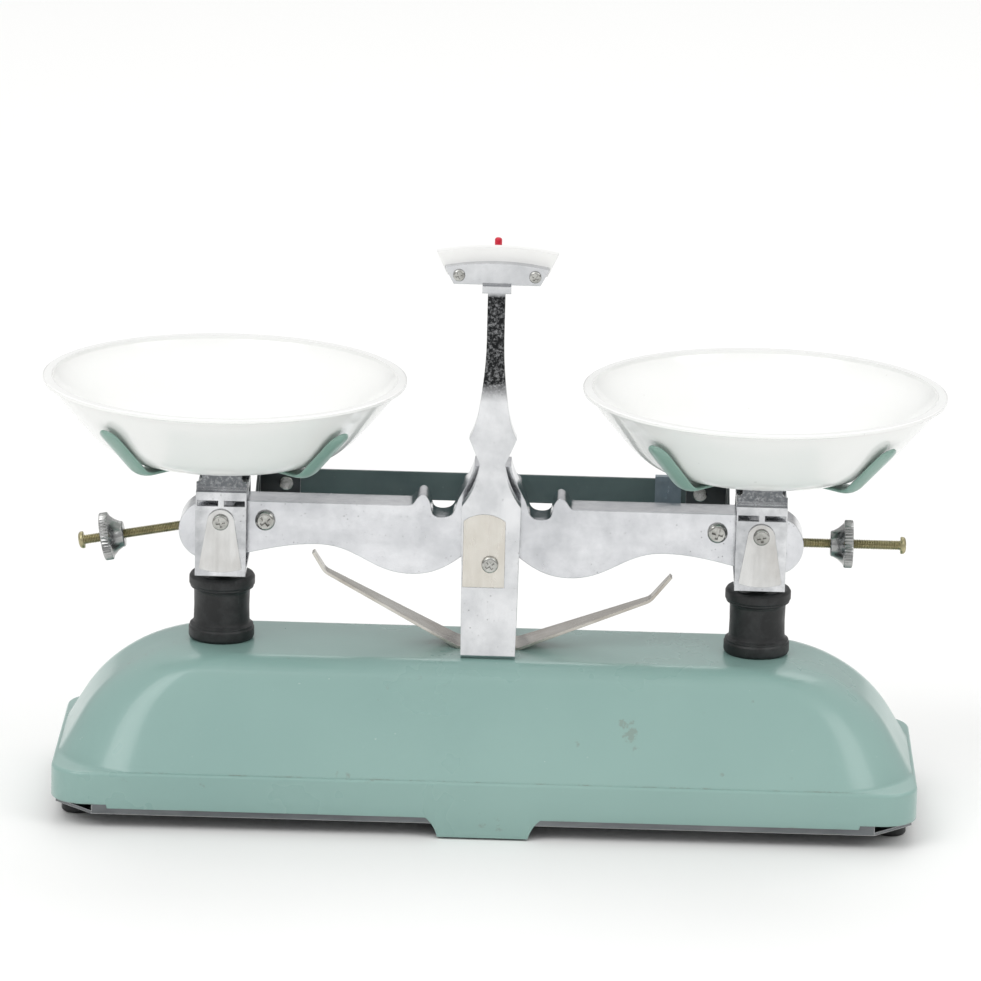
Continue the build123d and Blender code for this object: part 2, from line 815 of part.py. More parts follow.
def beam():
    """Cast beam with a rounded end on each arm, hollowed from behind along the arms."""
    with BuildPart() as casting:
        with BuildSketch(front_plane(beam_front)):
            add(beam_half())
            with Locations((disc_x, disc_z)):
                Circle(disc_radius)
            mirror(about=Plane.YZ)
        extrude(amount=-beam_thickness)
        with BuildSketch(front_plane(-beam_front)):
            add(pocket_outline())
            mirror(about=Plane.YZ)
        extrude(amount=beam_thickness - beam_web, mode=Mode.SUBTRACT)
        with BuildSketch(front_plane(beam_front)):
            add(knife_outline(0, -1))
            add(knife_outline(arm_length, 1))
            add(knife_outline(-arm_length, 1))
            offset(amount=close_fit, kind=Kind.INTERSECTION, mode=Mode.REPLACE)
            with Locations((-beam_screw_x, pivot_height), (beam_screw_x, pivot_height)):
                Circle(beam_screw / 2 + close_fit)
        extrude(amount=-beam_thickness, mode=Mode.SUBTRACT)
        for side in (-1, 1):
            with BuildSketch(adjuster_plane(side)):
                Circle(adjuster_diameter / 2 + close_fit)
            extrude(amount=-adjuster_root - 1, mode=Mode.SUBTRACT)
            with BuildSketch(adjuster_plane(side)):
                Circle(adjuster_diameter / 2 + close_fit)
            extrude(amount=disc_radius, mode=Mode.SUBTRACT)
        with BuildSketch(Plane.XY.offset(wing_top)):
            with Locations((0, pointer_y)):
                Circle(pointer_diameter / 2 + close_fit)
        extrude(amount=-pointer_root, mode=Mode.SUBTRACT)
    return casting.part


def beam_screws():
    grip = beam_thickness + bracket_thickness + 3.0
    blank = cross_screw(beam_screw, grip, 8.4, 2.6)
    return placed(blank, [facing(-beam_screw_x, beam_front, pivot_height, (0, -1, 0), 40),
                          facing(beam_screw_x, beam_front, pivot_height, (0, -1, 0), 75)])


def beam_nuts():
    seat = bracket_thickness - beam_front
    blank = hex_nut(beam_screw, 7.0, 3.0)
    return placed(blank, [facing(x, seat, pivot_height, (0, 1, 0)) for x in (-beam_screw_x, beam_screw_x)])


def pointer():
    start = wing_top - pointer_root
    with BuildPart() as rod:
        with BuildSketch(Plane.XY.offset(start)):
            with Locations((0, pointer_y)):
                Circle(pointer_diameter / 2)
        extrude(amount=pointer_top - start)
    return rod.part


def pointer_tip():
    with BuildPart() as tip:
        with BuildSketch(Plane.XY.offset(pointer_top - 1)):
            with Locations((0, pointer_y)):
                Circle(tip_width / 2)
        extrude(amount=tip_length)
        fillet(tip.edges().group_by(Axis.Z)[-1], 1.1)
        with BuildSketch(Plane.XY.offset(pointer_top - 1)):
            with Locations((0, pointer_y)):
                Circle(pointer_diameter / 2 + close_fit)
        extrude(amount=1, mode=Mode.SUBTRACT)
    return tip.part


def ruler():
    half = ruler_length / 2
    with BuildPart() as bar:
        with BuildSketch(front_plane(ruler_y - ruler_thickness / 2)):
            with Locations((0, ruler_bottom + ruler_height / 2)):
                RectangleRounded(ruler_length, ruler_height, 2.5)
            with Locations((-half + ruler_rivet_inset, ruler_bottom + ruler_height / 2),
                           (half - ruler_rivet_inset, ruler_bottom + ruler_height / 2)):
                Circle(ruler_rivet / 2 + close_fit, mode=Mode.SUBTRACT)
        extrude(amount=-ruler_thickness)
    return bar.part


def ruler_bracket(side):
    """Folded strip from the back of the beam to the end of the ruler."""
    foot_y = -beam_front
    leaf_y = ruler_y - ruler_thickness / 2 - bracket_thickness
    outer = beam_screw_x + 5.2
    rivet_x = ruler_length / 2 - ruler_rivet_inset
    leaf_z = ruler_bottom + ruler_height / 2
    with BuildPart() as bracket:
        with BuildSketch(front_plane(foot_y)):
            with Locations(((outer + beam_screw_x - 5) / 2, pivot_height)):
                Rectangle(outer - beam_screw_x + 5, 11)
            with Locations((beam_screw_x, pivot_height)):
                Circle(beam_screw / 2 + close_fit, mode=Mode.SUBTRACT)
        extrude(amount=-bracket_thickness)
        with BuildSketch(Plane.YZ.offset(outer - bracket_thickness)):
            Polygon((foot_y, pivot_height - 5.5), (leaf_y + bracket_thickness, ruler_bottom + 1),
                    (leaf_y + bracket_thickness, ruler_bottom + ruler_height), (foot_y, pivot_height + 5.5),
                    align=None)
        extrude(amount=bracket_thickness)
        with BuildSketch(front_plane(leaf_y)):
            with Locations(((rivet_x - 6 + outer) / 2, leaf_z + 0.5)):
                Rectangle(outer - rivet_x + 6, ruler_height - 1)
            with Locations((rivet_x, leaf_z)):
                Circle(ruler_rivet / 2 + close_fit, mode=Mode.SUBTRACT)
        extrude(amount=-bracket_thickness)
        if side < 0:
            mirror(about=Plane.YZ, mode=Mode.REPLACE)
    return bracket.part


def ruler_rivets():
    front = ruler_y - ruler_thickness / 2 - bracket_thickness
    rivet_x = ruler_length / 2 - ruler_rivet_inset
    grip = bracket_thickness + ruler_thickness
    with BuildPart() as blank:
        with BuildSketch():
            Circle(ruler_rivet)
        extrude(amount=0.9)
        fillet(blank.edges().group_by(Axis.Z)[-1], 0.6)
        with BuildSketch():
            Circle(ruler_rivet / 2)
        extrude(amount=-grip - 0.5)
    z = ruler_bottom + ruler_height / 2
    return placed(blank.part, [facing(x, front, z, (0, -1, 0)) for x in (-rivet_x, rivet_x)])


def rider():
    """Sheet saddle that hangs on the ruler."""
    inner = ruler_thickness / 2 + slide_fit
    outer = inner + rider_sheet
    high = ruler_bottom + ruler_height + slide_fit
    low = ruler_bottom - rider_drop
    with BuildPart() as saddle:
        with BuildSketch(Plane.YZ.offset(rider_x - rider_width / 2)):
            with BuildLine():
                Polyline((ruler_y - outer, low), (ruler_y - outer, high + rider_sheet),
                         (ruler_y + outer, high + rider_sheet), (ruler_y + outer, low),
                         (ruler_y + inner, low), (ruler_y + inner, high), (ruler_y - inner, high),
                         (ruler_y - inner, low), close=True)
            make_face()
        extrude(amount=rider_width)
    return saddle.part


def adjusting_screw(side):
    seat = adjuster_plane(side)
    with BuildPart() as screw:
        with BuildSketch(seat.offset(-adjuster_root)):
            Circle(adjuster_diameter / 2)
        extrude(amount=adjuster_root + adjuster_length)
        with BuildSketch(seat.offset(adjuster_length)):
            Circle(adjuster_head / 2)
        extrude(amount=2.4)
        crown = screw.faces().sort_by(Axis(seat.origin, seat.z_dir))[-1]
        fillet(crown.edges(), 1.3)
    return screw.part


def balance_nut(side, place):
    """Knurled rim with a cone towards the beam."""
    seat = adjuster_plane(side)
    outline_plane = Plane(origin=seat.origin, x_dir=seat.z_dir, z_dir=(0, -side, 0))
    bore = adjuster_diameter / 2 + running_fit
    rim_start = place + nut_cone
    with BuildPart() as nut:
        with BuildSketch(outline_plane):
            Polygon((place, bore), (place, nut_small / 2), (rim_start, nut_diameter / 2 - 0.8),
                    (rim_start, nut_diameter / 2), (rim_start + nut_rim - 0.6, nut_diameter / 2),
                    (rim_start + nut_rim, nut_diameter / 2 - 0.8), (rim_start + nut_rim, bore), align=None)
        revolve(axis=Axis(seat.origin, seat.z_dir))
        with BuildSketch(seat.offset(rim_start)):
            with PolarLocations(nut_diameter / 2, nut_knurls):
                Rectangle(0.9, 0.8, rotation=45)
        extrude(amount=nut_rim, mode=Mode.SUBTRACT)
    return nut.part


def waist_outline():
    """Cheek of the seat under a pan support, with a round notch in each side."""
    middle = (carrier_top + seat_top) / 2
    with BuildSketch() as cheek:
        with Locations((0, middle)):
            Rectangle(carrier_width, seat_rise)
        with Locations((-carrier_width / 2, middle), (carrier_width / 2, middle)):
            Circle(seat_notch, mode=Mode.SUBTRACT)
    return cheek.sketch


def carrier(x):
    """Box-like loop round the end of the beam, with a waisted seat on top."""
    half = carrier_width / 2
    with BuildPart() as frame:
        for side in (-1, 1):
            with BuildSketch(front_plane(side * carrier_front)):
                with Locations((0, (carrier_bottom + carrier_top) / 2)):
                    Rectangle(carrier_width, carrier_top - carrier_bottom)
                slot_z = carrier_top - slot_drop - slot_height / 2
                for sign in (-1, 1):
                    with Locations((sign * (half / 2 + slot_rib / 4), slot_z)):
                        Rectangle(half - slot_rib / 2 - 1.2, slot_height, mode=Mode.SUBTRACT)
                with Locations((0, tongue_screw_height)):
                    Circle(tongue_screw / 2 + close_fit, mode=Mode.SUBTRACT)
            extrude(amount=-side * carrier_plate)
            with BuildSketch(front_plane(side * (carrier_front + seat_inset))):
                add(waist_outline())
            extrude(amount=-side * carrier_plate)
        for low, high in ((carrier_bottom, carrier_bottom + carrier_plate),
                          (carrier_top - ledge_thickness, carrier_top)):
            with BuildSketch(Plane.XY.offset(low)):
                Rectangle(carrier_width, carrier_depth)
            extrude(amount=high - low)
        with BuildSketch(Plane.XY.offset(seat_top - carrier_plate)):
            Rectangle(carrier_width, carrier_depth - 2 * seat_inset)
        extrude(amount=carrier_plate)
        with BuildSketch(Plane.XY.offset(carrier_bottom)):
            Circle(spigot_diameter / 2 + close_fit)
        extrude(amount=carrier_plate, mode=Mode.SUBTRACT)
        with BuildSketch(Plane.XY.offset(seat_top)):
            Circle(support_screw / 2 + close_fit)
        extrude(amount=-carrier_plate, mode=Mode.SUBTRACT)
    return frame.part.moved(Location((x, 0, 0)))


def carrier_covers(x):
    """Tongue-shaped covers over the two bearings of one carrier."""
    top = tongue_top_width / 2
    foot = tongue_foot_width / 2
    with BuildPart() as tongues:
        for side in (-1, 1):
            with BuildSketch(front_plane(side * carrier_front)):
                with BuildLine():
                    Line((-foot, tongue_foot + 1.5), (-top, tongue_top - top))
                    ThreePointArc((-top, tongue_top - top), (0, tongue_top), (top, tongue_top - top))
                    Line((top, tongue_top - top), (foot, tongue_foot + 1.5))
                    ThreePointArc((foot, tongue_foot + 1.5), (0, tongue_foot), (-foot, tongue_foot + 1.5))
                make_face()
                with Locations((0, tongue_screw_height)):
                    Circle(tongue_screw / 2 + close_fit, mode=Mode.SUBTRACT)
            extrude(amount=side * tongue_thickness)
    return tongues.part.moved(Location((x, 0, 0)))


def carrier_cover_screws(x):
    y = carrier_front - tongue_thickness
    blank = cross_screw(tongue_screw, tongue_thickness + carrier_plate, 6.8, 1.6)
    return placed(blank, [facing(x, y, tongue_screw_height, (0, -1, 0), 12),
                          facing(x, -y, tongue_screw_height, (0, 1, 0), 50)])


def end_bearings(x):
    """Grooved blocks inside the front and rear faces of one carrier."""
    with BuildPart() as blocks:
        for side in (-1, 1):
            with BuildSketch(front_plane(side * (carrier_front + carrier_plate))):
                add(block_outline(-1))
            extrude(amount=-side * bearing_land)
    return blocks.part.moved(Location((x, 0, 0)))


def carrier_stem(x):
    """Rod under a carrier, with a forked lower end."""
    low = guide_height - stem_fork
    with BuildPart() as rod:
        with BuildSketch(Plane.XY.offset(low)):
            Circle(stem_diameter / 2)
        extrude(amount=carrier_bottom - low)
        with BuildSketch(Plane.XY.offset(carrier_bottom)):
            Circle(spigot_diameter / 2)
        extrude(amount=carrier_plate)
        with BuildSketch(Plane.XY.offset(low)):
            Rectangle(stem_diameter + 1, bar_thickness + 2 * open_pivot)
        extrude(amount=2 * stem_fork, mode=Mode.SUBTRACT)
        with BuildSketch(front_plane(-stem_diameter)):
            with Locations((0, guide_height)):
                Circle(bar_pin / 2 + close_fit)
        extrude(amount=-2 * stem_diameter, mode=Mode.SUBTRACT)
    return rod.part.moved(Location((x, 0, 0)))


def stem_pin(x):
    half = stem_diameter / 2 + 0.8
    with BuildPart() as pin:
        with BuildSketch(front_plane(-half)):
            with Locations((x, guide_height)):
                Circle(bar_pin / 2)
        extrude(amount=-2 * half)
    return pin.part


def strap():
    """One arm of the cross along +X, turned up round the pan's wall, with a rounded tip."""
    middle = strap_bottom + strap_thickness / 2
    with BuildPart() as arm:
        with BuildSketch(front_plane(-strap_width / 2)):
            with BuildLine():
                FilletPolyline((0, middle), (pan_radius - strap_bend_inset, middle),
                               (pan_radius - strap_tip_inset, strap_tip_height),
                               radius=strap_bend)
            trace(line_width=strap_thickness)
        extrude(amount=-strap_width)
        fillet(arm.edges().filter_by(Axis.Y, reverse=True).group_by(Axis.Z)[-1], 0.3)
    return arm.part


def pan_support(x):
    """Cross of four straps with a flat hub."""
    arm = strap()
    turns = [support_turn + 45 + 90 * step for step in range(4)]
    with BuildPart() as cross:
        for turn in turns:
            add(Rot(0, 0, turn) * arm)
        with BuildSketch(Plane.XY.offset(strap_bottom)):
            Circle(support_hub)
        extrude(amount=hub_top - strap_bottom)
        with Locations(Plane.XY.offset(hub_top)):
            CounterSinkHole(support_screw / 2 + close_fit, support_screw_head / 2 + close_fit)
    return cross.part.moved(Location((x, 0, 0)))


def support_screws(x):
    half = support_screw / 2
    head = support_screw_head / 2
    head_drop = head - half
    with BuildPart() as screw:
        with BuildSketch(Plane.XZ):
            Polygon((0, hub_top), (head, hub_top), (half, hub_top - head_drop),
                    (half, seat_top - carrier_plate), (0, seat_top - carrier_plate), align=None)
        revolve(axis=Axis.Z)
    return screw.part.moved(Location((x, 0, 0)))


def bowl_outline(inset):
    """Half section of the pan's outer face moved in by inset, closed along the axis."""
    floor = pan_bottom + inset
    slant = inset * 0.8
    wall_top = (pan_radius - 2.6 - slant, pan_rim - 2.2 + 0.4 * inset)
    foot = (pan_radius - pan_floor_inset - slant, floor)
    knee = (pan_radius - pan_knee[0] - slant, floor + pan_knee[1])
    middle = (pan_radius - pan_wall_middle[0] - slant, floor + pan_wall_middle[1])
    with BuildSketch() as section:
        with BuildLine():
            Line((0, floor), foot)
            Spline(foot, knee, middle, wall_top, tangents=((1, 0.25), (0.6, 1)))
            if inset:
                Polyline(wall_top, (pan_radius - 2.0 - slant, pan_rim + 1), (0, pan_rim + 1), (0, floor))
            else:
                Polyline(wall_top, (pan_radius, pan_rim - 1.4), (pan_radius, pan_rim - 0.3),
                         (pan_radius - 0.6, pan_rim), (0, pan_rim), (0, floor))
        make_face()
    return section.sketch


def pan(x):
    with BuildPart() as bowl:
        with BuildSketch(Plane.XZ):
            add(bowl_outline(0))
            add(bowl_outline(pan_wall), mode=Mode.SUBTRACT)
        revolve(axis=Axis.Z)
    return bowl.part.moved(Location((x, 0, 0)))


keep(base_shell(), "base_shell")
keep(bottom_plate(), "bottom_plate")
keep(feet(), "feet")
keep(foot_screws(), "foot_screws")
keep(foot_nuts(), "foot_nuts")
keep(column(), "column")
keep(column_screws(), "column_screws")
keep(column_covers(), "column_covers")
keep(column_cover_screws(), "column_cover_screws")
keep(centre_bearings(), "centre_bearings")
keep(dial(), "dial")
keep(dial_screws(), "dial_screws")
keep(stop_arms(), "stop_arms")
keep(guide_bracket(), "guide_bracket")
keep(guide_pivot_pin(), "guide_pivot_pin")
keep(lower_bar(), "lower_bar")
keep(beam(), "beam")
keep(centre_knife(), "centre_knife")
keep(end_knives(), "end_knives")
keep(beam_screws(), "beam_screws")
keep(beam_nuts(), "beam_nuts")
keep(pointer(), "pointer")
keep(pointer_tip(), "pointer_tip")
keep(ruler(), "ruler")
keep(ruler_bracket(-1), "ruler_bracket_left")
keep(ruler_bracket(1), "ruler_bracket_right")
keep(ruler_rivets(), "ruler_rivets")
keep(rider(), "rider")
for label, side, nut_place in (("left", -1, left_nut_place), ("right", 1, right_nut_place)):
    x = side * arm_length
    keep(adjusting_screw(side), f"adjusting_screw_{label}")
    keep(balance_nut(side, nut_place), f"balance_nut_{label}")
    keep(sleeve(x), f"sleeve_{label}")
    keep(carrier(x), f"carrier_{label}")
    keep(carrier_covers(x), f"carrier_covers_{label}")
    keep(carrier_cover_screws(x), f"carrier_cover_screws_{label}")
    keep(end_bearings(x), f"end_bearings_{label}")
    keep(carrier_stem(x), f"carrier_stem_{label}")
    keep(stem_pin(x), f"stem_pin_{label}")
    keep(pan_support(x), f"pan_support_{label}")
    keep(support_screws(x), f"support_screw_{label}")
    keep(pan(x), f"pan_{label}")
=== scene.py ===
import bpy
import bmesh
import math
import random
from mathutils import Matrix, Vector


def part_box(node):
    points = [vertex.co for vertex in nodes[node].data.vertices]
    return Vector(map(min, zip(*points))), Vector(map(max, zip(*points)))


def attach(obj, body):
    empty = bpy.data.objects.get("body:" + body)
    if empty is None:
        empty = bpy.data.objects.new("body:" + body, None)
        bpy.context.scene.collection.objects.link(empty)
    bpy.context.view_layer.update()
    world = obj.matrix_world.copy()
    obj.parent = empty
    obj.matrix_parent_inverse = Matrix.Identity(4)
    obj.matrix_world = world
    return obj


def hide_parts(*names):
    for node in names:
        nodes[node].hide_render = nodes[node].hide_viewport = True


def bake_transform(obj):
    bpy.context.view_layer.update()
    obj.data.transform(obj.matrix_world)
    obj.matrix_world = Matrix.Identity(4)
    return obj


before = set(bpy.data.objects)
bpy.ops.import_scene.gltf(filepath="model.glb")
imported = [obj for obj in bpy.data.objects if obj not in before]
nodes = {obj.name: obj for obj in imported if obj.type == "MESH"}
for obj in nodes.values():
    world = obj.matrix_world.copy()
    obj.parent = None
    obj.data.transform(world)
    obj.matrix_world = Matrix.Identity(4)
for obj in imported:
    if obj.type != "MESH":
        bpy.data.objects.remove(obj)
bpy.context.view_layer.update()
random.seed(7)
mm = 0.001
print("frame loaded:", len(nodes), "nodes")



def srgb(red, green, blue):
    values = []
    for part in (red, green, blue):
        part = part / 255
        values.append(part / 12.92 if part <= 0.04045 else ((part + 0.055) / 1.055) ** 2.4)
    return (*values, 1.0)


class Surface:
    # one principled material with short ways to hang textures on it
    def __init__(self, name):
        self.material = bpy.data.materials.new(name)
        self.material.use_nodes = True
        self.tree = self.material.node_tree
        self.shader = self.tree.nodes["Principled BSDF"]
        self.coords = self.add("ShaderNodeTexCoord").outputs["Object"]

    def add(self, kind, **settings):
        node = self.tree.nodes.new(kind)
        for key, value in settings.items():
            setattr(node, key, value)
        return node

    def join(self, start, end):
        self.tree.links.new(start, end)

    def stretched(self, scale):
        mapping = self.add("ShaderNodeMapping")
        mapping.inputs["Scale"].default_value = scale
        self.join(self.coords, mapping.inputs["Vector"])
        return mapping.outputs["Vector"]

    def noise(self, scale, detail=4, roughness=0.6, stretch=(1, 1, 1), distortion=0.0):
        node = self.add("ShaderNodeTexNoise")
        self.join(self.stretched(stretch), node.inputs["Vector"])
        node.inputs["Scale"].default_value = scale
        node.inputs["Detail"].default_value = detail
        node.inputs["Roughness"].default_value = roughness
        node.inputs["Distortion"].default_value = distortion
        return node.outputs["Fac"]

    def cells(self, scale, stretch=(1, 1, 1)):
        node = self.add("ShaderNodeTexVoronoi")
        self.join(self.stretched(stretch), node.inputs["Vector"])
        node.inputs["Scale"].default_value = scale
        return node.outputs["Distance"]

    def ramp(self, value, stops):
        node = self.add("ShaderNodeValToRGB")
        band = node.color_ramp
        while len(band.elements) < len(stops):
            band.elements.new(0.5)
        for element, (place, color) in zip(band.elements, stops):
            element.position = place
            element.color = color if isinstance(color, tuple) else (color, color, color, 1)
        self.join(value, node.inputs["Fac"])
        return node.outputs["Color"]

    def blendColors(self, factor, first, second, kind="MIX"):
        node = self.add("ShaderNodeMix", data_type="RGBA", blend_type=kind)
        for socket, value in ((node.inputs["Factor"], factor), (node.inputs[6], first), (node.inputs[7], second)):
            if isinstance(value, bpy.types.NodeSocket):
                self.join(value, socket)
            else:
                socket.default_value = value
        return node.outputs[2]

    def maths(self, kind, first, second=0.0, clamp=False):
        node = self.add("ShaderNodeMath", operation=kind, use_clamp=clamp)
        for socket, value in ((node.inputs[0], first), (node.inputs[1], second)):
            if isinstance(value, bpy.types.NodeSocket):
                self.join(value, socket)
            else:
                socket.default_value = value
        return node.outputs[0]

    def height(self, axis, low, high):
        # 0 at low, 1 at high along one axis of the piece
        split = self.add("ShaderNodeSeparateXYZ")
        self.join(self.coords, split.inputs[0])
        spread = self.add("ShaderNodeMapRange", clamp=True)
        self.join(split.outputs[axis], spread.inputs["Value"])
        spread.inputs["From Min"].default_value = low
        spread.inputs["From Max"].default_value = high
        return spread.outputs["Result"]

    def edges(self, radius):
        # 1 along edges that are sharper than the radius, 0 on flats
        soft = self.add("ShaderNodeBevel", samples=4)
        soft.inputs["Radius"].default_value = radius
        plain = self.add("ShaderNodeNewGeometry")
        dot = self.add("ShaderNodeVectorMath", operation="DOT_PRODUCT")
        self.join(soft.outputs["Normal"], dot.inputs[0])
        self.join(plain.outputs["Normal"], dot.inputs[1])
        return self.ramp(dot.outputs["Value"], [(0.86, 1.0), (0.985, 0.0)])

    def bumps(self, parts, bevel=0.0):
        # parts is a list of (height, strength, distance in metres)
        normal = None
        if bevel:
            soft = self.add("ShaderNodeBevel", samples=4)
            soft.inputs["Radius"].default_value = bevel
            normal = soft.outputs["Normal"]
        for value, strength, distance in parts:
            node = self.add("ShaderNodeBump")
            node.inputs["Strength"].default_value = strength
            node.inputs["Distance"].default_value = distance
            self.join(value, node.inputs["Height"])
            if normal is not None:
                self.join(normal, node.inputs["Normal"])
            normal = node.outputs["Normal"]
        self.join(normal, self.shader.inputs["Normal"])

    def set(self, **values):
        for key, value in values.items():
            socket = self.shader.inputs[key.replace("_", " ")]
            if isinstance(value, bpy.types.NodeSocket):
                self.join(value, socket)
            else:
                socket.default_value = value
        return self



def greenPaint(name, look):
    s = Surface(name)
    drift = s.ramp(s.noise(look["driftScale"], 3), [(0.3, look["shade"]), (0.7, look["paint"])])
    specks = s.ramp(s.noise(look["speckScale"], 2, 0.5), [(look["speckFrom"], 0.0), (look["speckFrom"] + 0.03, 1.0)])
    color = s.blendColors(specks, drift, look["speck"])
    chips = s.ramp(s.noise(look["chipScale"], 5, 0.7), [(0.66, 0.0), (0.70, 1.0)])
    edge = s.edges(look["edge"])
    worn = s.maths("MULTIPLY", edge, s.ramp(s.noise(140, 5, 0.7), [(0.52, 0.0), (0.64, 1.0)]))
    worn = s.maths("MAXIMUM", worn, s.maths("MULTIPLY", chips, look["chipAmount"]), clamp=True)
    color = s.blendColors(s.maths("MULTIPLY", worn, look["wear"]), color, look["bare"])
    gloss = s.ramp(s.noise(look["driftScale"] * 3, 4), [(0.3, look["gloss"] - 0.06), (0.7, look["gloss"] + 0.07)])
    s.set(Base_Color=color, Roughness=gloss, Coat_Weight=look["coat"], Coat_Roughness=0.12)
    s.bumps([(s.noise(look["peelScale"], 2, 0.5), 0.10, 0.0003), (s.noise(14, 2, 0.4), 0.10, 0.004),
             (worn, -0.25, 0.0002)], bevel=look["bevel"])
    return s.material


def castMetal(name, look):
    s = Surface(name)
    cloud = s.noise(look["cloudScale"], 5, 0.65)
    color = s.ramp(cloud, [(0.30, look["dull"]), (0.62, look["bright"])])
    pits = s.ramp(s.cells(look["pitScale"]), [(0.04, 1.0), (0.16, 0.0)])
    sparse = s.ramp(s.noise(70, 3, 0.6), [(0.48, 0.0), (0.60, 1.0)])
    pits = s.maths("MULTIPLY", pits, sparse)
    color = s.blendColors(s.maths("MULTIPLY", pits, 0.75), color, look["pit"])
    streak = s.ramp(s.noise(70, 5, 0.7, stretch=look["streak"]), [(0.45, 0.0), (0.75, 1.0)])
    color = s.blendColors(s.maths("MULTIPLY", streak, look["streakAmount"]), color, look["dull"])
    # painted dark band between two heights: on the column a painted reflection of the dark studio, on the carriers
    # painted shade just under the pan supports
    if "paintedDarkFrom" in look:
        rise = s.height("Z", look["paintedDarkFrom"], look["paintedDarkTo"])
        fall = s.height("Z", look["paintedDarkFadeTo"], look["paintedDarkFadeFrom"])
        band = s.maths("MULTIPLY", rise, fall)
        broken = s.ramp(s.noise(700, 4, 0.8), [(0.34, 0.6), (0.52, 1.0)])
        color = s.blendColors(s.maths("MULTIPLY", band, broken), color, look["dark"])
    rough = s.ramp(s.noise(look["cloudScale"] * 1.7, 5, 0.7), [(0.3, look["smooth"]), (0.75, look["rough"])])
    s.set(Base_Color=color, Metallic=1.0, Roughness=rough)
    s.bumps([(s.noise(34, 3, 0.5), look["wave"], 0.0012), (s.noise(420, 3, 0.6), 0.14, 0.00015),
             (pits, -0.5, 0.00025), (streak, -0.08, 0.0002)], bevel=look["bevel"])
    return s.material


def sheetMetal(name, look):
    s = Surface(name)
    brushed = s.noise(60, 5, 0.75, stretch=look["grain"])
    color = s.ramp(brushed, [(0.3, look["dull"]), (0.7, look["bright"])])
    cloud = s.ramp(s.noise(look["cloudScale"], 4), [(0.4, 0.0), (0.75, 1.0)])
    color = s.blendColors(s.maths("MULTIPLY", cloud, look["tarnish"]), color, look["stain"])
    if "cutEdge" in look:
        color = s.blendColors(s.edges(0.0006), color, look["cutEdge"])
    rough = s.ramp(s.noise(55, 5, 0.7, stretch=look["grain"]), [(0.3, look["smooth"]), (0.75, look["rough"])])
    s.set(Base_Color=color, Metallic=look["metal"], Roughness=rough)
    s.bumps([(brushed, 0.12, 0.00012), (s.noise(26, 2), look["wave"], 0.0015)], bevel=look["bevel"])
    return s.material


def blackRubber(name):
    s = Surface(name)
    dust = s.ramp(s.noise(120, 6, 0.7), [(0.45, srgb(22, 23, 24)), (0.8, srgb(52, 54, 55))])
    scuffs = s.ramp(s.noise(260, 5, 0.7, stretch=(1, 1, 0.25)), [(0.62, 0.0), (0.72, 1.0)])
    color = s.blendColors(s.maths("MULTIPLY", scuffs, 0.35), dust, srgb(92, 94, 95))
    rough = s.ramp(s.noise(80, 4), [(0.3, 0.38), (0.7, 0.58)])
    s.set(Base_Color=color, Roughness=rough, Specular_IOR_Level=0.45)
    s.bumps([(s.noise(500, 3, 0.6), 0.25, 0.0002), (s.noise(60, 3), 0.15, 0.0008)])
    return s.material


def glazedWhite(name, look):
    s = Surface(name)
    color = s.ramp(s.noise(9, 3), [(0.3, look["shade"]), (0.7, look["white"])])
    specks = s.ramp(s.noise(330, 2, 0.5), [(0.76, 0.0), (0.79, 1.0)])
    color = s.blendColors(s.maths("MULTIPLY", specks, 0.18), color, srgb(150, 148, 142))
    rough = s.ramp(s.noise(30, 4), [(0.3, look["gloss"]), (0.75, look["gloss"] + 0.12)])
    s.set(Base_Color=color, Roughness=rough, Coat_Weight=look["coat"], Coat_Roughness=0.06)
    s.bumps([(s.noise(18, 2), 0.08, 0.003), (s.noise(600, 2), 0.04, 0.0001)], bevel=0.0003)
    return s.material


def plainPaint(name, color, shade, gloss):
    s = Surface(name)
    mixed = s.ramp(s.noise(300, 4), [(0.35, shade), (0.65, color)])
    rough = s.ramp(s.noise(200, 4), [(0.3, gloss - 0.08), (0.7, gloss + 0.1)])
    s.set(Base_Color=mixed, Roughness=rough)
    s.bumps([(s.noise(700, 3), 0.15, 0.0001)])
    return s.material


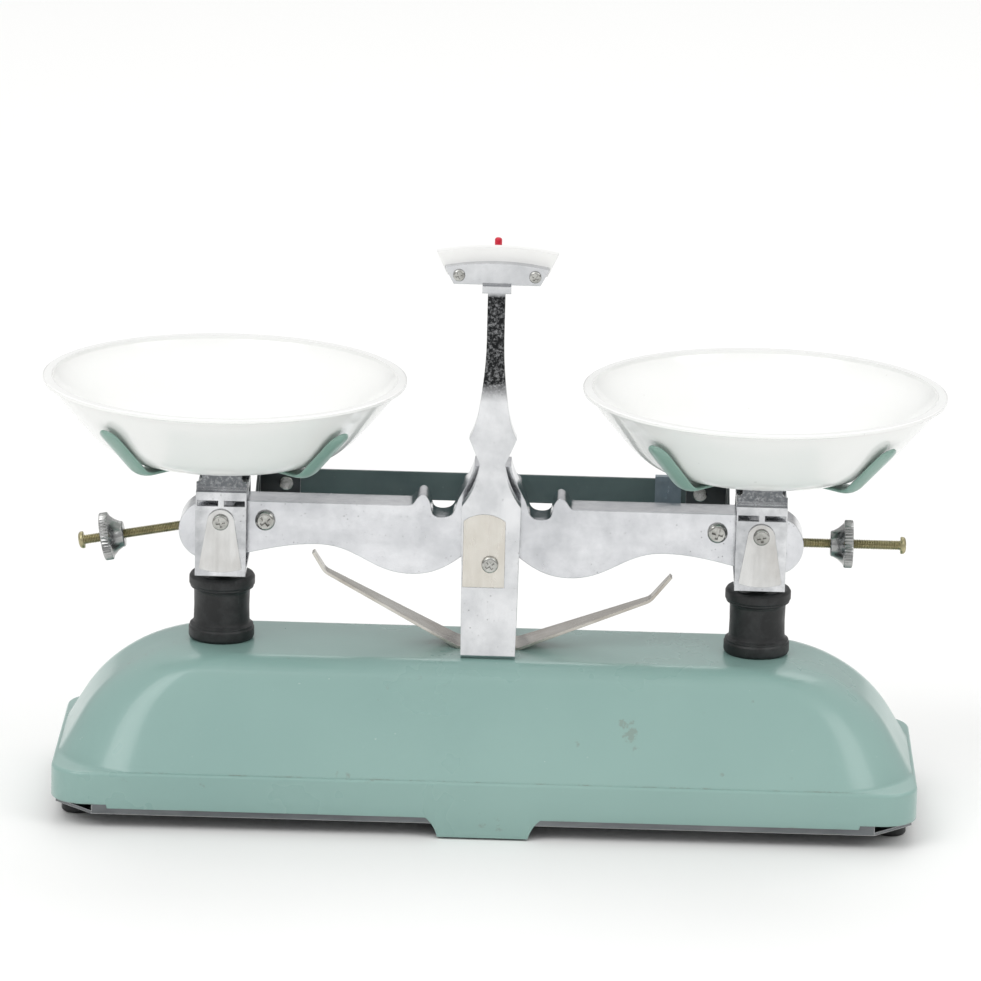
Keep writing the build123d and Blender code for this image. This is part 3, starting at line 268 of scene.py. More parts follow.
finishes = {
    "basePaint": greenPaint("sea green base paint", {
        "paint": srgb(140, 172, 165), "shade": srgb(130, 163, 157), "speck": srgb(176, 196, 191),
        "bare": srgb(112, 92, 76), "driftScale": 6, "speckScale": 620, "speckFrom": 0.775, "chipScale": 60,
        "chipAmount": 0.5, "wear": 0.6, "edge": 0.0014, "gloss": 0.30, "coat": 0.35, "peelScale": 700, "bevel": 0.0004}),
    "strapPaint": greenPaint("strap paint", {
        "paint": srgb(138, 170, 158), "shade": srgb(126, 158, 147), "speck": srgb(176, 194, 188),
        "bare": srgb(150, 150, 144), "driftScale": 30, "speckScale": 500, "chipScale": 90, "chipAmount": 0.2,
        "speckFrom": 0.78, "wear": 0.5, "edge": 0.0007, "gloss": 0.34, "coat": 0.25, "peelScale": 900, "bevel": 0.0003}),
    # the ruler's green paint, darkened with painted shade because its back face lies in shade
    "rulerPaintWithPaintedShade": greenPaint("green ruler paint with painted shade", {
        "paint": srgb(88, 108, 107), "shade": srgb(74, 94, 94), "speck": srgb(120, 136, 134),
        "bare": srgb(158, 160, 156), "driftScale": 40, "speckScale": 600, "chipScale": 120, "chipAmount": 0.3,
        "speckFrom": 0.74, "wear": 0.85, "edge": 0.0006, "gloss": 0.36, "coat": 0.2, "peelScale": 900, "bevel": 0.0002}),
    "columnChrome": castMetal("column chrome", {
        "bright": srgb(226, 227, 229), "dull": srgb(186, 188, 191), "pit": srgb(70, 70, 70), "dark": srgb(34, 35, 36),
        "cloudScale": 38, "pitScale": 420, "streak": (1, 1, 0.2), "streakAmount": 0.35, "smooth": 0.10,
        "rough": 0.30, "wave": 0.30, "bevel": 0.0004,
        # the stem band from 178 to 224 mm up is a painted dark reflection of the studio
        "paintedDarkFrom": 0.178, "paintedDarkTo": 0.186, "paintedDarkFadeFrom": 0.2225, "paintedDarkFadeTo": 0.2245}),
    "beamChrome": castMetal("beam chrome", {
        "bright": srgb(224, 225, 228), "dull": srgb(180, 182, 186), "pit": srgb(68, 68, 68),
        "cloudScale": 32, "pitScale": 430, "streak": (0.25, 1, 1), "streakAmount": 0.4, "smooth": 0.10,
        "rough": 0.30, "wave": 0.34, "bevel": 0.0005}),
    "carrierChrome": castMetal("carrier chrome", {
        "bright": srgb(224, 225, 227), "dull": srgb(166, 168, 171), "pit": srgb(70, 70, 70),
        "cloudScale": 60, "pitScale": 430, "streak": (0.3, 1, 1), "streakAmount": 0.5, "smooth": 0.12,
        # painted shade: the carrier darkens in a band from 135 to 145 mm, just under the pan support
        "rough": 0.32, "wave": 0.24, "bevel": 0.0003, "dark": srgb(104, 107, 110),
        "paintedDarkFrom": 0.1350, "paintedDarkTo": 0.1366, "paintedDarkFadeFrom": 0.1438, "paintedDarkFadeTo": 0.1452}),
    "creamSheet": sheetMetal("cover sheet", {
        "bright": srgb(226, 223, 216), "dull": srgb(206, 202, 194), "stain": srgb(160, 148, 128), "tarnish": 0.3,
        "cloudScale": 60, "grain": (1, 1, 0.12), "metal": 1.0, "smooth": 0.18, "rough": 0.36, "wave": 0.1,
        "bevel": 0.0002}),
    "brightSheet": sheetMetal("bright sheet", {
        "bright": srgb(226, 226, 225), "dull": srgb(190, 190, 189), "stain": srgb(126, 116, 104), "tarnish": 0.35,
        "cloudScale": 45, "grain": (1, 1, 0.15), "metal": 1.0, "smooth": 0.14, "rough": 0.32, "wave": 0.16,
        "bevel": 0.0002}),
    "stopSheet": sheetMetal("stop strip", {
        "bright": srgb(222, 220, 214), "dull": srgb(180, 176, 168), "stain": srgb(116, 96, 78), "tarnish": 0.5,
        "cloudScale": 30, "grain": (0.12, 1, 1), "metal": 1.0, "smooth": 0.14, "rough": 0.34, "wave": 0.2,
        "bevel": 0.0002}),
    "darkSheet": sheetMetal("dark sheet", {
        "bright": srgb(74, 78, 80), "dull": srgb(56, 60, 62), "stain": srgb(96, 98, 98), "tarnish": 0.4,
        "cloudScale": 50, "grain": (0.3, 1, 1), "metal": 0.6, "smooth": 0.28, "rough": 0.46, "wave": 0.1,
        "bevel": 0.0002, "cutEdge": srgb(176, 178, 178)}),
    "plateSheet": sheetMetal("bottom plate sheet", {
        "bright": srgb(122, 125, 128), "dull": srgb(84, 87, 90), "stain": srgb(150, 151, 152), "tarnish": 0.4,
        "cloudScale": 14, "grain": (0.2, 1, 1), "metal": 0.85, "smooth": 0.24, "rough": 0.42, "wave": 0.1,
        "bevel": 0.0002, "cutEdge": srgb(206, 207, 207)}),
    "riderSheet": sheetMetal("rider sheet", {
        "bright": srgb(150, 164, 172), "dull": srgb(122, 138, 147), "stain": srgb(96, 106, 112), "tarnish": 0.4,
        "cloudScale": 60, "grain": (1, 1, 0.3), "metal": 0.8, "smooth": 0.25, "rough": 0.42, "wave": 0.1,
        "bevel": 0.0002}),
    "screwMetal": sheetMetal("bright screws", {
        "bright": srgb(214, 214, 210), "dull": srgb(160, 160, 156), "stain": srgb(98, 96, 90), "tarnish": 0.6,
        "cloudScale": 260, "grain": (1, 1, 1), "metal": 1.0, "smooth": 0.16, "rough": 0.36, "wave": 0.05,
        "bevel": 0.00025}),
    "nutMetal": sheetMetal("turned nuts", {
        "bright": srgb(206, 206, 204), "dull": srgb(140, 141, 142), "stain": srgb(98, 98, 97), "tarnish": 0.5,
        "cloudScale": 120, "grain": (1, 0.4, 0.4), "metal": 1.0, "smooth": 0.16, "rough": 0.38, "wave": 0.2,
        "bevel": 0.0002}),
    "yellowZinc": sheetMetal("yellow zinc", {
        "bright": srgb(196, 188, 152), "dull": srgb(150, 142, 108), "stain": srgb(104, 104, 84), "tarnish": 0.6,
        "cloudScale": 160, "grain": (0.5, 1, 1), "metal": 1.0, "smooth": 0.22, "rough": 0.42, "wave": 0.05,
        "bevel": 0.0}),
    "hardSteel": sheetMetal("hard steel", {
        "bright": srgb(178, 180, 182), "dull": srgb(146, 148, 150), "stain": srgb(112, 112, 112), "tarnish": 0.4,
        "cloudScale": 90, "grain": (1, 0.1, 1), "metal": 1.0, "smooth": 0.2, "rough": 0.4, "wave": 0.05,
        "bevel": 0.0001}),
    "rubber": blackRubber("black rubber"),
    "panWhite": glazedWhite("glazed pan", {
        "white": srgb(246, 246, 244), "shade": srgb(241, 242, 240), "gloss": 0.14, "coat": 0.5}),
    "dialWhite": glazedWhite("dial white", {
        "white": srgb(244, 244, 242), "shade": srgb(234, 234, 232), "gloss": 0.28, "coat": 0.2}),
    "redTip": plainPaint("red tip", srgb(214, 24, 56), srgb(188, 18, 46), 0.35),
    "markBlack": plainPaint("black marks", srgb(30, 31, 33), srgb(20, 21, 22), 0.5),
    "markWhite": plainPaint("white marks", srgb(228, 230, 228), srgb(212, 214, 212), 0.5),
}

finishOfNode = {
    "basePaint": ["base_shell"],
    "plateSheet": ["bottom_plate"],
    "darkSheet": ["guide_bracket", "lower_bar", "ruler_bracket_left", "ruler_bracket_right",
                  "carrier_stem_left", "carrier_stem_right"],
    "rubber": ["feet", "sleeve_left", "sleeve_right"],
    "screwMetal": ["foot_screws", "foot_nuts", "column_screws", "column_cover_screws", "dial_screws", "beam_screws",
                   "beam_nuts", "ruler_rivets", "carrier_cover_screws_left", "carrier_cover_screws_right",
                   "support_screw_left", "support_screw_right"],
    "columnChrome": ["column"],
    "beamChrome": ["beam"],
    "carrierChrome": ["carrier_left", "carrier_right"],
    "creamSheet": ["column_covers"],
    "brightSheet": ["carrier_covers_left", "carrier_covers_right", "pointer"],
    "stopSheet": ["stop_arms"],
    "hardSteel": ["centre_bearings", "centre_knife", "end_knives", "end_bearings_left", "end_bearings_right",
                  "guide_pivot_pin", "stem_pin_left", "stem_pin_right"],
    "dialWhite": ["dial"],
    "redTip": ["pointer_tip"],
    "rulerPaintWithPaintedShade": ["ruler"],
    "riderSheet": ["rider"],
    "yellowZinc": ["adjusting_screw_left", "adjusting_screw_right"],
    "nutMetal": ["balance_nut_left", "balance_nut_right"],
    "strapPaint": ["pan_support_left", "pan_support_right"],
    "panWhite": ["pan_left", "pan_right"],
}
for finish, names in finishOfNode.items():
    for name in names:
        node = nodes[name]
        if not node.material_slots:
            node.data.materials.append(finishes[finish])
        for holder in node.material_slots:
            holder.material = finishes[finish]
print("materials made:", len(finishes))



def roundedPath(points, steps=5, closed=False):
    # points are (x, y, corner radius); the corners become arcs
    path = []
    count = len(points)
    for index, (x, y, radius) in enumerate(points):
        corner = Vector((x, y))
        if radius <= 0 or (not closed and index in (0, count - 1)):
            path.append(corner)
            continue
        before = Vector(points[index - 1][:2]) - corner
        after = Vector(points[(index + 1) % count][:2]) - corner
        half = before.angle(after) / 2
        reach = min(radius / math.tan(half), 0.48 * before.length, 0.48 * after.length)
        size = reach * math.tan(half)
        centre = corner + (before.normalized() + after.normalized()).normalized() * (size / math.sin(half))
        start = corner + before.normalized() * reach - centre
        finish = corner + after.normalized() * reach - centre
        sweep = start.angle_signed(finish)
        for step in range(steps + 1):
            turn = Matrix.Rotation(-sweep * step / steps, 2)
            path.append(centre + turn @ start)
    return path


def makePiece(name, points, faces, finish, sharpAngle=38):
    mesh = bpy.data.meshes.new(name)
    mesh.from_pydata([Vector(p) * mm for p in points], [], faces)
    piece = bpy.data.objects.new(name, mesh)
    bpy.context.scene.collection.objects.link(piece)
    mesh.materials.append(finishes[finish])
    smoothPiece(piece, sharpAngle)
    return piece


def smoothPiece(piece, sharpAngle):
    mesh = piece.data
    tool = bmesh.new()
    tool.from_mesh(mesh)
    bmesh.ops.recalc_face_normals(tool, faces=tool.faces)
    tool.to_mesh(mesh)
    tool.free()
    for face in mesh.polygons:
        face.use_smooth = True
    mesh.set_sharp_from_angle(angle=math.radians(sharpAngle))


def stackRings(rings, openEnds=True, loop=False):
    # faces between rings of equal size; both ends are capped unless the stack is a loop
    size = len(rings[0])
    points = [p for ring in rings for p in ring]
    faces = []
    for level in range(len(rings) if loop else len(rings) - 1):
        here, there = level * size, ((level + 1) % len(rings)) * size
        for step in range(size):
            after = (step + 1) % size
            faces.append((here + step, there + step, there + after, here + after))
    if not loop and openEnds:
        faces.append(tuple(range(size)))
        faces.append(tuple(reversed(range(len(points) - size, len(points)))))
    return points, faces


def turnedRings(profile, segments, wobble=None):
    # profile is (radius, height); wobble changes a radius by level and angle
    rings = []
    for level, (radius, height) in enumerate(profile):
        ring = []
        for step in range(segments):
            angle = 2 * math.pi * step / segments
            reach = radius + (wobble(level, height, angle) if wobble else 0)
            ring.append((reach * math.cos(angle), reach * math.sin(angle), height))
        rings.append(ring)
    return rings


def addBar(points, faces, low, high):
    x0, y0, z0 = low
    x1, y1, z1 = high
    start = len(points)
    points += [(x0, y0, z0), (x1, y0, z0), (x1, y1, z0), (x0, y1, z0), (x0, y0, z1), (x1, y0, z1), (x1, y1, z1), (x0, y1, z1)]
    sides = [(0, 3, 2, 1), (4, 5, 6, 7), (0, 1, 5, 4), (1, 2, 6, 5), (2, 3, 7, 6), (3, 0, 4, 7)]
    faces += [tuple(start + corner for corner in side) for side in sides]


def block(name, low, high):
    # plain cutter, removed after use
    points, faces = [], []
    addBar(points, faces, low, high)
    return makePiece(name, points, faces, "markBlack")


def cutAway(piece, cutters):
    for cutter in cutters:
        cut = piece.modifiers.new("cut", "BOOLEAN")
        cut.operation = "DIFFERENCE"
        cut.solver = "EXACT"
        cut.object = cutter
    bpy.context.view_layer.update()
    graph = bpy.context.evaluated_depsgraph_get()
    made = bpy.data.meshes.new_from_object(piece.evaluated_get(graph))
    piece.modifiers.clear()
    piece.data = made
    for cutter in cutters:
        bpy.data.objects.remove(cutter)


def settle(piece, body, replaced):
    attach(piece, body)
    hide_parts(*replaced)


# pressed base: one closed skin, outside and inside
baseShape = {
    "lipTop": 24.5, "lipBottom": 9.0, "lipCorner": 15.0, "lipStep": 1.5, "lipRound": 1.5, "wall": 1.6,
    "endRun": 27.0, "sideRun": 26.5, "endRound": 60.0, "sideRound": 14.0, "hipTop": 19.0, "hipFoot": 33.0,
    "tabHalf": 18.75, "tabFlare": 5.0, "tabFoot": 0.8, "cornerLift": 1.6, "cornerReach": 24.0, "stemHole": 6.0,
    "cornerSteps": 14, "endSteps": 18, "sideSteps": 10,
}


def tabEdge(shape):
    # half of the tab's lower edge, from its foot out to the lip
    a = Vector((shape["tabHalf"], shape["tabFoot"]))
    b = a + Vector((1.2, 5.0))
    c = Vector((shape["tabHalf"] + shape["tabFlare"], shape["lipBottom"]))
    return [a * (1 - t) ** 2 + b * 2 * t * (1 - t) + c * t * t for t in (step / 7 for step in range(8))]


def lowerEdge(x, y, halfX, halfY, shape):
    edge = tabEdge(shape)
    if abs(y) > halfY - 3 and abs(x) <= edge[-1].x:
        for one, two in zip(edge, edge[1:]):
            if one.x <= abs(x) <= two.x:
                return one.y + (two.y - one.y) * (abs(x) - one.x) / (two.x - one.x)
        return shape["tabFoot"]
    if math.hypot(halfX - abs(x), halfY - abs(y)) < shape["cornerReach"]:
        return shape["lipBottom"] + shape["cornerLift"]
    return shape["lipBottom"]


def outlineRing(halfX, halfY, corner, alongFront, alongEnd, steps):
    straightX, straightY = halfX - corner, halfY - corner
    ring = []
    for turn, shares, straight in ((0, alongFront, straightX), (1, alongEnd, straightY),
                                   (2, alongFront, straightX), (3, alongEnd, straightY)):
        out = halfY if turn % 2 == 0 else halfX
        side = straightX if turn % 2 == 0 else straightY
        angle = turn * math.pi / 2
        cosTurn, sinTurn = round(math.cos(angle)), round(math.sin(angle))
        run = [(share * straight, -out) for share in shares]
        run += [(side + corner * math.sin(a), -(out - corner) - corner * math.cos(a))
                for a in (math.pi / 2 * k / steps for k in range(1, steps))]
        ring += [(x * cosTurn - y * sinTurn, x * sinTurn + y * cosTurn) for x, y in run]
    return ring


def slopeReach(drop, topHalf, slope, radius):
    start = topHalf - radius * math.tan(slope / 2)
    turned = radius * (1 - math.cos(slope))
    if drop < turned:
        return start + radius * math.sin(math.acos(1 - drop / radius))
    return start + radius * math.sin(slope) + (drop - turned) / math.tan(slope)


def buildBase(shape):
    low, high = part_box("base_shell")
    halfX, halfY, top = high.x / mm, high.y / mm, high.z / mm
    fall = top - shape["lipTop"]
    topX, topY = halfX - shape["endRun"], halfY - shape["sideRun"]
    slopeX = math.atan2(fall, halfX - shape["lipStep"] - topX)
    slopeY = math.atan2(fall, halfY - shape["lipStep"] - topY)
    drops = [shape["endRound"] * (1 - math.cos(slopeX * k / shape["endSteps"])) for k in range(shape["endSteps"] + 1)]
    drops += [shape["sideRound"] * (1 - math.cos(slopeY * k / shape["sideSteps"])) for k in range(1, shape["sideSteps"])]
    drops = sorted(drops) + [fall - 4, fall - 1.4, fall - 0.4]
    straightX, straightY = halfX - shape["lipCorner"], halfY - shape["lipCorner"]
    tab = [p.x for p in tabEdge(shape)]
    lift = halfX - shape["cornerReach"]
    places = [0, 8, *tab, tab[-1] + 0.3, 34, 50, 70, 90, 110, 130, 145, lift - 0.2, lift + 0.2, 160, straightX]
    alongFront = sorted({sign * place / straightX for place in places for sign in (-1, 1)})
    lift = halfY - shape["cornerReach"]
    places = [0, 10, 20, 28, lift - 0.2, lift + 0.2, 38, straightY]
    alongEnd = sorted({sign * place / straightY for place in places for sign in (-1, 1)})

    def flat(inX, inY, corner, height):
        ring = outlineRing(halfX - inX, halfY - inY, corner, alongFront, alongEnd, shape["cornerSteps"])
        return [(x, y, height) for x, y in ring]

    def domeRings(inset, lower):
        rings = []
        for drop in drops:
            x = slopeReach(drop, topX, slopeX, shape["endRound"]) - inset
            y = slopeReach(drop, topY, slopeY, shape["sideRound"]) - inset
            hip = shape["hipTop"] + (shape["hipFoot"] - shape["hipTop"]) * drop / fall - inset
            rings.append(flat(halfX - x, halfY - y, hip, top - drop - lower))
        return rings

    def edgeRing(inset, rise, corner):
        ring = outlineRing(halfX - inset, halfY - inset, corner - inset, alongFront, alongEnd, shape["cornerSteps"])
        return [(x, y, lowerEdge(x, y, halfX, halfY, shape) + rise) for x, y in ring]

    corner, step, soft, wall = shape["lipCorner"], shape["lipStep"], shape["lipRound"], shape["wall"]
    rings = domeRings(0, 0)
    rings.append(flat(step, step, corner + 16, shape["lipTop"] + 0.1))
    for k in range(6):
        a = math.pi / 2 * k / 5
        rings.append(flat(soft * (1 - math.sin(a)), soft * (1 - math.sin(a)), corner - soft * (1 - math.sin(a)),
                          shape["lipTop"] - soft * (1 - math.cos(a))))
    rings.append(flat(0, 0, corner, 14.0))
    rings += [edgeRing(0, 0.5, corner), edgeRing(0.15, 0.12, corner), edgeRing(0.5, 0, corner),
              edgeRing(1.2, 0, corner), edgeRing(wall, 0.3, corner)]
    rings.append(flat(wall, wall, corner - wall, 14.0))
    rings.append(flat(wall, wall, corner - wall, shape["lipTop"] - wall - 0.4))
    rings.append(flat(wall + 0.5, wall + 0.5, corner - wall - 0.5, shape["lipTop"] - wall))
    rings += list(reversed(domeRings(0.8, wall)))[1:]
    points, faces = stackRings(rings)
    piece = makePiece("baseShell", points, faces, "basePaint", 46)
    holes = []
    for side in ("left", "right"):
        stemLow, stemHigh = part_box(f"carrier_stem_{side}")
        x = (stemLow.x + stemHigh.x) / 2 / mm
        rings = turnedRings([(shape["stemHole"], top - 6), (shape["stemHole"], top + 6)], 40)
        points, faces = stackRings([[(px + x, py, pz) for px, py, pz in ring] for ring in rings])
        holes.append(makePiece("hole_" + side, points, faces, "markBlack"))
    cutAway(piece, holes)
    smoothPiece(piece, 46)
    settle(piece, "base", ["base_shell"])


buildBase(baseShape)
print("base made")

# rubber sleeves round the stems
sleeveShape = {
    "bore": 4.3, "slit": 0.025, "segments": 96,
    "outline": [(13.2, 0.0, 0.6), (13.75, 1.2, 0.8), (13.75, 4.6, 0.5), (13.2, 5.3, 0.4), (13.35, 5.9, 0.3), (12.0, 6.9, 0.7),
                (11.7, 8.2, 0.8), (11.55, 14.0, 6.0), (11.7, 20.4, 0.8), (12.1, 21.6, 0.5), (13.3, 22.2, 0.4),
                (13.15, 22.9, 0.3), (13.75, 23.5, 0.5), (13.75, 26.6, 0.9), (12.9, 28.0, 0.9)],
}


def buildSleeve(side, shape):
    low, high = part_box(f"sleeve_{side}")
    x, foot = (low.x + high.x) / 2 / mm, low.z / mm
    outline = [(shape["bore"], 0.0, 0), *shape["outline"], (shape["bore"] + 0.3, 28.0, 0), (shape["bore"], 27.7, 0)]
    profile = roundedPath(outline, 4)
    rings = []
    for step in range(shape["segments"] + 1):
        angle = math.pi / 2 + shape["slit"] + (2 * math.pi - 2 * shape["slit"]) * step / shape["segments"]
        rings.append([(x + p.x * math.cos(angle), p.x * math.sin(angle), foot + p.y) for p in profile])
    points, faces = stackRings(rings)
    piece = makePiece(f"sleeveRubber_{side}", points, faces, "rubber", 50)
    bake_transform(piece)
    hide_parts(f"sleeve_{side}")


for side in ("left", "right"):
    buildSleeve(side, sleeveShape)
print("sleeves made")

# adjusting screws with real threads, and their knurled nuts
screwShape = {
    "root": 8.0, "length": 40.5, "radius": 2.0, "pitch": 0.7, "depth": 0.34, "headRadius": 3.6, "headHeight": 2.4,
    "droop": 10.5, "perTurn": 28, "perPitch": 6,
}
nutShape = {
    "places": {"left": 23.5, "right": 11.3}, "bore": 2.08, "knurls": 46, "knurlDepth": 0.5, "perKnurl": 4,
    # radius, height from the small end, share of the knurl
    "outline": [(2.08, 0.3, 0), (2.5, 0.0, 0), (4.9, 0.0, 0), (5.4, 0.45, 0), (5.45, 1.1, 0), (6.6, 3.2, 0), (8.3, 5.1, 0),
                (9.1, 5.6, 0), (9.6, 5.75, 0.4), (10.0, 6.1, 1), (10.0, 8.9, 1), (9.7, 9.25, 0.5), (9.1, 9.4, 0),
                (8.0, 9.4, 0), (7.6, 9.1, 0), (4.4, 9.1, 0), (4.0, 9.4, 0), (2.5, 9.4, 0), (2.08, 9.1, 0)],
}


def screwSeat(side, shape):
    # frame at the beam's end with Z along the screw
    low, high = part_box("adjusting_screw_right")
    reach = (shape["length"] + shape["headHeight"]) * mm
    x, z = high.x - reach, (low.z + high.z) / 2
    droop = math.radians(shape["droop"]) if side == "left" else 0.0
    sign = -1 if side == "left" else 1
    along = Vector((sign * math.cos(droop), 0, -math.sin(droop)))
    across = Vector((0, 1, 0))
    turned = Matrix((across.cross(along) * -1, across, along)).transposed()
    if turned.determinant() < 0:
        turned = Matrix((across.cross(along), across, along)).transposed()
    return Matrix.Translation((sign * x, 0, z)) @ turned.to_4x4()


def buildScrew(side, shape):
    rings = []
    count = int((shape["root"] + shape["length"]) / shape["pitch"] * shape["perPitch"])
    for level in range(count + 1):
        height = -shape["root"] + (shape["root"] + shape["length"]) * level / count
        ring = []
        for step in range(shape["perTurn"]):
            share = (height / shape["pitch"] - step / shape["perTurn"]) % 1.0
            groove = max(0.0, 1 - abs(share - 0.5) * 2.6)
            fade = min(1.0, (shape["length"] - height) / 0.7)
            reach = shape["radius"] - shape["depth"] * groove * fade
            angle = 2 * math.pi * step / shape["perTurn"]
            ring.append((reach * math.cos(angle), reach * math.sin(angle), height))
        rings.append(ring)
    head, top = shape["headRadius"], shape["length"] + shape["headHeight"]
    crown = [(head - 0.25, shape["length"]), (head, shape["length"] + 0.25), (head, top - 1.3), (head - 0.25, top - 0.75),
             (head - 0.8, top - 0.3), (head - 1.7, top - 0.05), (0.6, top)]
    rings += turnedRings(crown, shape["perTurn"])
    points, faces = stackRings(rings)
    piece = makePiece(f"threadedScrew_{side}", points, faces, "yellowZinc", 60)
    cutAway(piece, [block("slotA", (-2.3, -0.45, top - 1.1), (2.3, 0.45, top + 1)),
                    block("slotB", (-0.45, -2.3, top - 1.1), (0.45, 2.3, top + 1))])
    smoothPiece(piece, 50)
    piece.matrix_world = screwSeat(side, shape)
    settle(piece, "beam", [f"adjusting_screw_{side}"])


def buildNut(side, shape):
    def knurl(level, height, angle):
        share = (angle / (2 * math.pi) * shape["knurls"]) % 1.0
        return -shape["outline"][level][2] * shape["knurlDepth"] * (1 - abs(2 * share - 1)) ** 0.7

    profile = [(radius, height + shape["places"][side]) for radius, height, _ in shape["outline"]]
    rings = turnedRings(profile, shape["knurls"] * shape["perKnurl"], knurl)
    points, faces = stackRings(rings, loop=True)
    piece = makePiece(f"knurledNut_{side}", points, faces, "nutMetal", 30)
    piece.matrix_world = screwSeat(side, screwShape)
    settle(piece, f"balance_nut_{side}", [f"balance_nut_{side}"])


for side in ("left", "right"):
    buildScrew(side, screwShape)
    buildNut(side, nutShape)
print("screws and nuts made")

# pan supports: four crowned straps on a hub
supportShape = {
    "turn": 48.0, "width": 11.0, "thickness": 2.2, "edge": 1.3, "bend": 48.5, "tipRadius": 69.4, "tipRise": 22.4,
    "bendRound": 9.0, "start": 7.0, "hub": 15.0, "hubHeight": 2.8, "hole": 2.05, "sink": 3.85, "tipLength": 5.5,
}


def strapRings(shape):
    middle = shape["thickness"] / 2
    line = roundedPath([(shape["start"], middle, 0), (shape["bend"], middle, shape["bendRound"]),
                        (shape["tipRadius"], shape["tipRise"], 0)], 12)
    spots = [line[0]]
    for one, two in zip(line, line[1:]):
        pieces = max(1, round((two - one).length / 2.5))
        spots += [one.lerp(two, k / pieces) for k in range(1, pieces + 1)]
    lengths = [0.0]
    for one, two in zip(spots, spots[1:]):
        lengths.append(lengths[-1] + (two - one).length)
    total, tip = lengths[-1], shape["tipLength"]
    keep = [(s, p) for s, p in zip(lengths, spots) if s < total - tip - 0.5]
    direction = (spots[-1] - spots[-2]).normalized()
    for k in range(9):
        back = tip * (1 - math.sin(math.pi / 2 * k / 8.4))
        keep.append((total - back, spots[-1] - direction * back))
    rings = []
    for index, (s, spot) in enumerate(keep):
        ahead = keep[min(index + 1, len(keep) - 1)][1] - keep[max(index - 1, 0)][1]
        ahead.normalize()
        inward = Vector((-ahead.y, ahead.x))
        into = max(0.0, (s - (total - tip)) / tip)
        narrow = math.sqrt(max(0.0, 1 - into * into))
        thin = 0.5 + 0.5 * narrow
        half = shape["width"] / 2 * max(narrow, 0.1)
        ring = []
        for u, v in [(-0.93, 0), (-0.5, 0.12), (0, 0.16), (0.5, 0.12), (0.93, 0), (1, 0.35), (0.96, 0.8), (0.8, 1.2),
                     (0.55, 1.72), (0.25, 2.08), (0, 2.2), (-0.25, 2.08), (-0.55, 1.72), (-0.8, 1.2), (-0.96, 0.8), (-1, 0.35)]:
            depth = middle - v * thin
            place = spot + inward * depth
            ring.append((place.x, u * half, place.y))
        rings.append(ring)
    return rings


def buildSupport(side, shape):
    low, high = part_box(f"pan_support_{side}")
    x, foot = (low.x + high.x) / 2 / mm, low.z / mm
    points, faces = [], []
    for arm in range(4):
        angle = math.radians(shape["turn"] + 90 * arm)
        armPoints, armFaces = stackRings(strapRings(shape))
        offset = len(points)
        points += [(x + px * math.cos(angle) - py * math.sin(angle), px * math.sin(angle) + py * math.cos(angle), foot + pz)
                   for px, py, pz in armPoints]
        faces += [tuple(i + offset for i in face) for face in armFaces]
    hub, tall = shape["hub"], shape["hubHeight"]
    outline = [(shape["hole"], 0, 0), (hub, 0, 0.5), (hub, tall, 0.7), (shape["sink"], tall, 0.15), (shape["hole"], 1.0, 0)]
    profile = [(p.x, p.y) for p in roundedPath(outline, 3)]
    hubPoints, hubFaces = stackRings(turnedRings(profile, 64), loop=True)
    offset = len(points)
    points += [(px + x, py, pz + foot) for px, py, pz in hubPoints]
    faces += [tuple(i + offset for i in face) for face in hubFaces]
    piece = makePiece(f"panCross_{side}", points, faces, "strapPaint", 50)
    settle(piece, f"carrier_{side}", [f"pan_support_{side}"])


for side in ("left", "right"):
    buildSupport(side, supportShape)
print("pan supports made")

# printed marks, a hair proud of the faces that they are on
dialMarkShape = {"count": 21, "spread": 40.0, "arch": 2.6, "halfWidth": 25.0, "band": 1.8, "gap": 0.9, "long": 3.2,
                 "short": 2.0, "wide": 0.36, "proud": 0.06, "plate": 2.0}
rulerMarkShape = {"count": 51, "margin": 9.0, "long": 5.2, "middle": 3.9, "short": 2.7, "wide": 0.34, "proud": 0.05,
                  "foot": 1.6}


def markDial(shape):
    low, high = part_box("dial")
    face, top = low.y / mm + shape["plate"], high.z / mm
    points, faces = [], []
    for index in range(shape["count"]):
        x = shape["spread"] * (index / (shape["count"] - 1) - 0.5)
        long = shape["long"] if index % 5 == 0 else shape["short"]
        upper = top - shape["arch"] * (x / shape["halfWidth"]) ** 2 - shape["band"] - shape["gap"]
        addBar(points, faces, (x - shape["wide"] / 2, face - 0.1, upper - long),
               (x + shape["wide"] / 2, face + shape["proud"], upper))
    piece = makePiece("dialMarks", points, faces, "markBlack", 20)
    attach(piece, "base")


def markRuler(shape):
    low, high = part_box("ruler")
    left, right = low.x / mm + shape["margin"], high.x / mm - shape["margin"]
    face, foot = high.y / mm, low.z / mm + shape["foot"]
    points, faces = [], []
    for index in range(shape["count"]):
        x = right + (left - right) * index / (shape["count"] - 1)
        long = shape["long"] if index % 10 == 0 else shape["middle"] if index % 5 == 0 else shape["short"]
        addBar(points, faces, (x - shape["wide"] / 2, face - 0.1, foot),
               (x + shape["wide"] / 2, face + shape["proud"], foot + long))
    piece = makePiece("rulerMarks", points, faces, "markWhite", 20)
    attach(piece, "beam")


markDial(dialMarkShape)
markRuler(rulerMarkShape)
print("marks made")

stageLook = {
    "aim": (-0.0008, 0.0, 0.1343), "distance": 2.7567, "elevation": 14.84, "azimuth": -0.65, "roll": 1.44,
    "lens": 243.04, "floorColor": srgb(244, 244, 243), "floorSize": 14.0,
    "skyTop": 0.86, "skyMiddle": 0.55, "skyHorizon": 0.2,
    "lights": [("key", (-1.3, -1.5, 2.3), 1.7, 24), ("fill", (1.7, -1.1, 1.7), 1.3, 10), ("back", (0.2, 1.7, 2.5), 2.0, 17)],
}


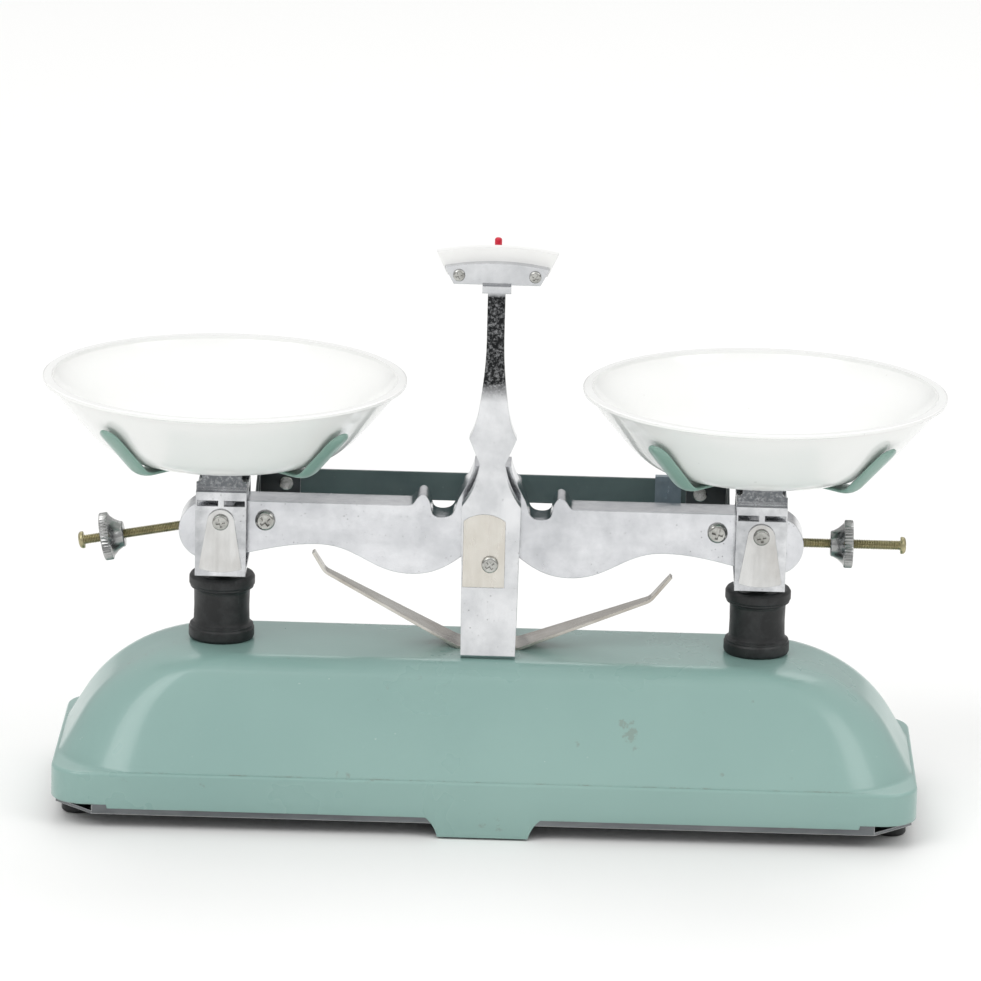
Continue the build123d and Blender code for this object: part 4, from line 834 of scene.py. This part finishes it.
def placeCamera(look):
    camera = bpy.data.objects.new("camera", bpy.data.cameras.new("camera"))
    bpy.context.scene.collection.objects.link(camera)
    turn, tilt, roll = (math.radians(look[key]) for key in ("azimuth", "elevation", "roll"))
    forward = Vector((math.sin(turn) * math.cos(tilt), math.cos(turn) * math.cos(tilt), -math.sin(tilt)))
    right = Vector((math.cos(turn), -math.sin(turn), 0))
    up = right.cross(forward)
    across = right * math.cos(roll) + up * math.sin(roll)
    over = up * math.cos(roll) - right * math.sin(roll)
    spot = Vector(look["aim"]) - forward * look["distance"]
    axes = Matrix((across, over, -forward)).transposed().to_4x4()
    camera.matrix_world = Matrix.Translation(spot) @ axes
    camera.data.lens = look["lens"]
    camera.data.sensor_width = 36.0
    camera.data.clip_start = 0.05
    bpy.context.scene.camera = camera


def lightScene(look):
    for name, spot, size, power in look["lights"]:
        lamp = bpy.data.lights.new(name, "AREA")
        lamp.size = size
        lamp.energy = power
        holder = bpy.data.objects.new(name, lamp)
        bpy.context.scene.collection.objects.link(holder)
        holder.location = spot
        holder.rotation_euler = (Vector((0, 0, 0.1)) - Vector(spot)).to_track_quat("-Z", "Y").to_euler()
    world = bpy.data.worlds.new("studio")
    bpy.context.scene.world = world
    world.use_nodes = True
    tree = world.node_tree
    coords = tree.nodes.new("ShaderNodeTexCoord")
    split = tree.nodes.new("ShaderNodeSeparateXYZ")
    band = tree.nodes.new("ShaderNodeValToRGB")
    tree.links.new(coords.outputs["Generated"], split.inputs[0])
    spread = tree.nodes.new("ShaderNodeMapRange")
    spread.inputs["From Min"].default_value = -1.0
    tree.links.new(split.outputs["Z"], spread.inputs["Value"])
    tree.links.new(spread.outputs["Result"], band.inputs["Fac"])
    stops = [(0.46, look["skyHorizon"]), (0.56, look["skyMiddle"]), (0.8, look["skyTop"])]
    band.color_ramp.elements.new(0.5)
    for element, (place, value) in zip(band.color_ramp.elements, stops):
        element.position = place
        element.color = (value, value, value, 1)
    tree.links.new(band.outputs["Color"], tree.nodes["Background"].inputs["Color"])


def layFloor(look):
    half = look["floorSize"] / 2
    mesh = bpy.data.meshes.new("floor")
    mesh.from_pydata([(-half, -half, 0), (half, -half, 0), (half, half, 0), (-half, half, 0)], [], [(0, 1, 2, 3)])
    floor = bpy.data.objects.new("floor", mesh)
    bpy.context.scene.collection.objects.link(floor)
    s = Surface("pale floor")
    s.set(Base_Color=s.ramp(s.noise(3, 2), [(0.3, look["floorColor"]), (0.7, look["floorColor"])]), Roughness=0.7)
    mesh.materials.append(s.material)


placeCamera(stageLook)
lightScene(stageLook)
layFloor(stageLook)
bpy.context.scene.view_settings.view_transform = "Standard"
print("camera, lights and floor placed")
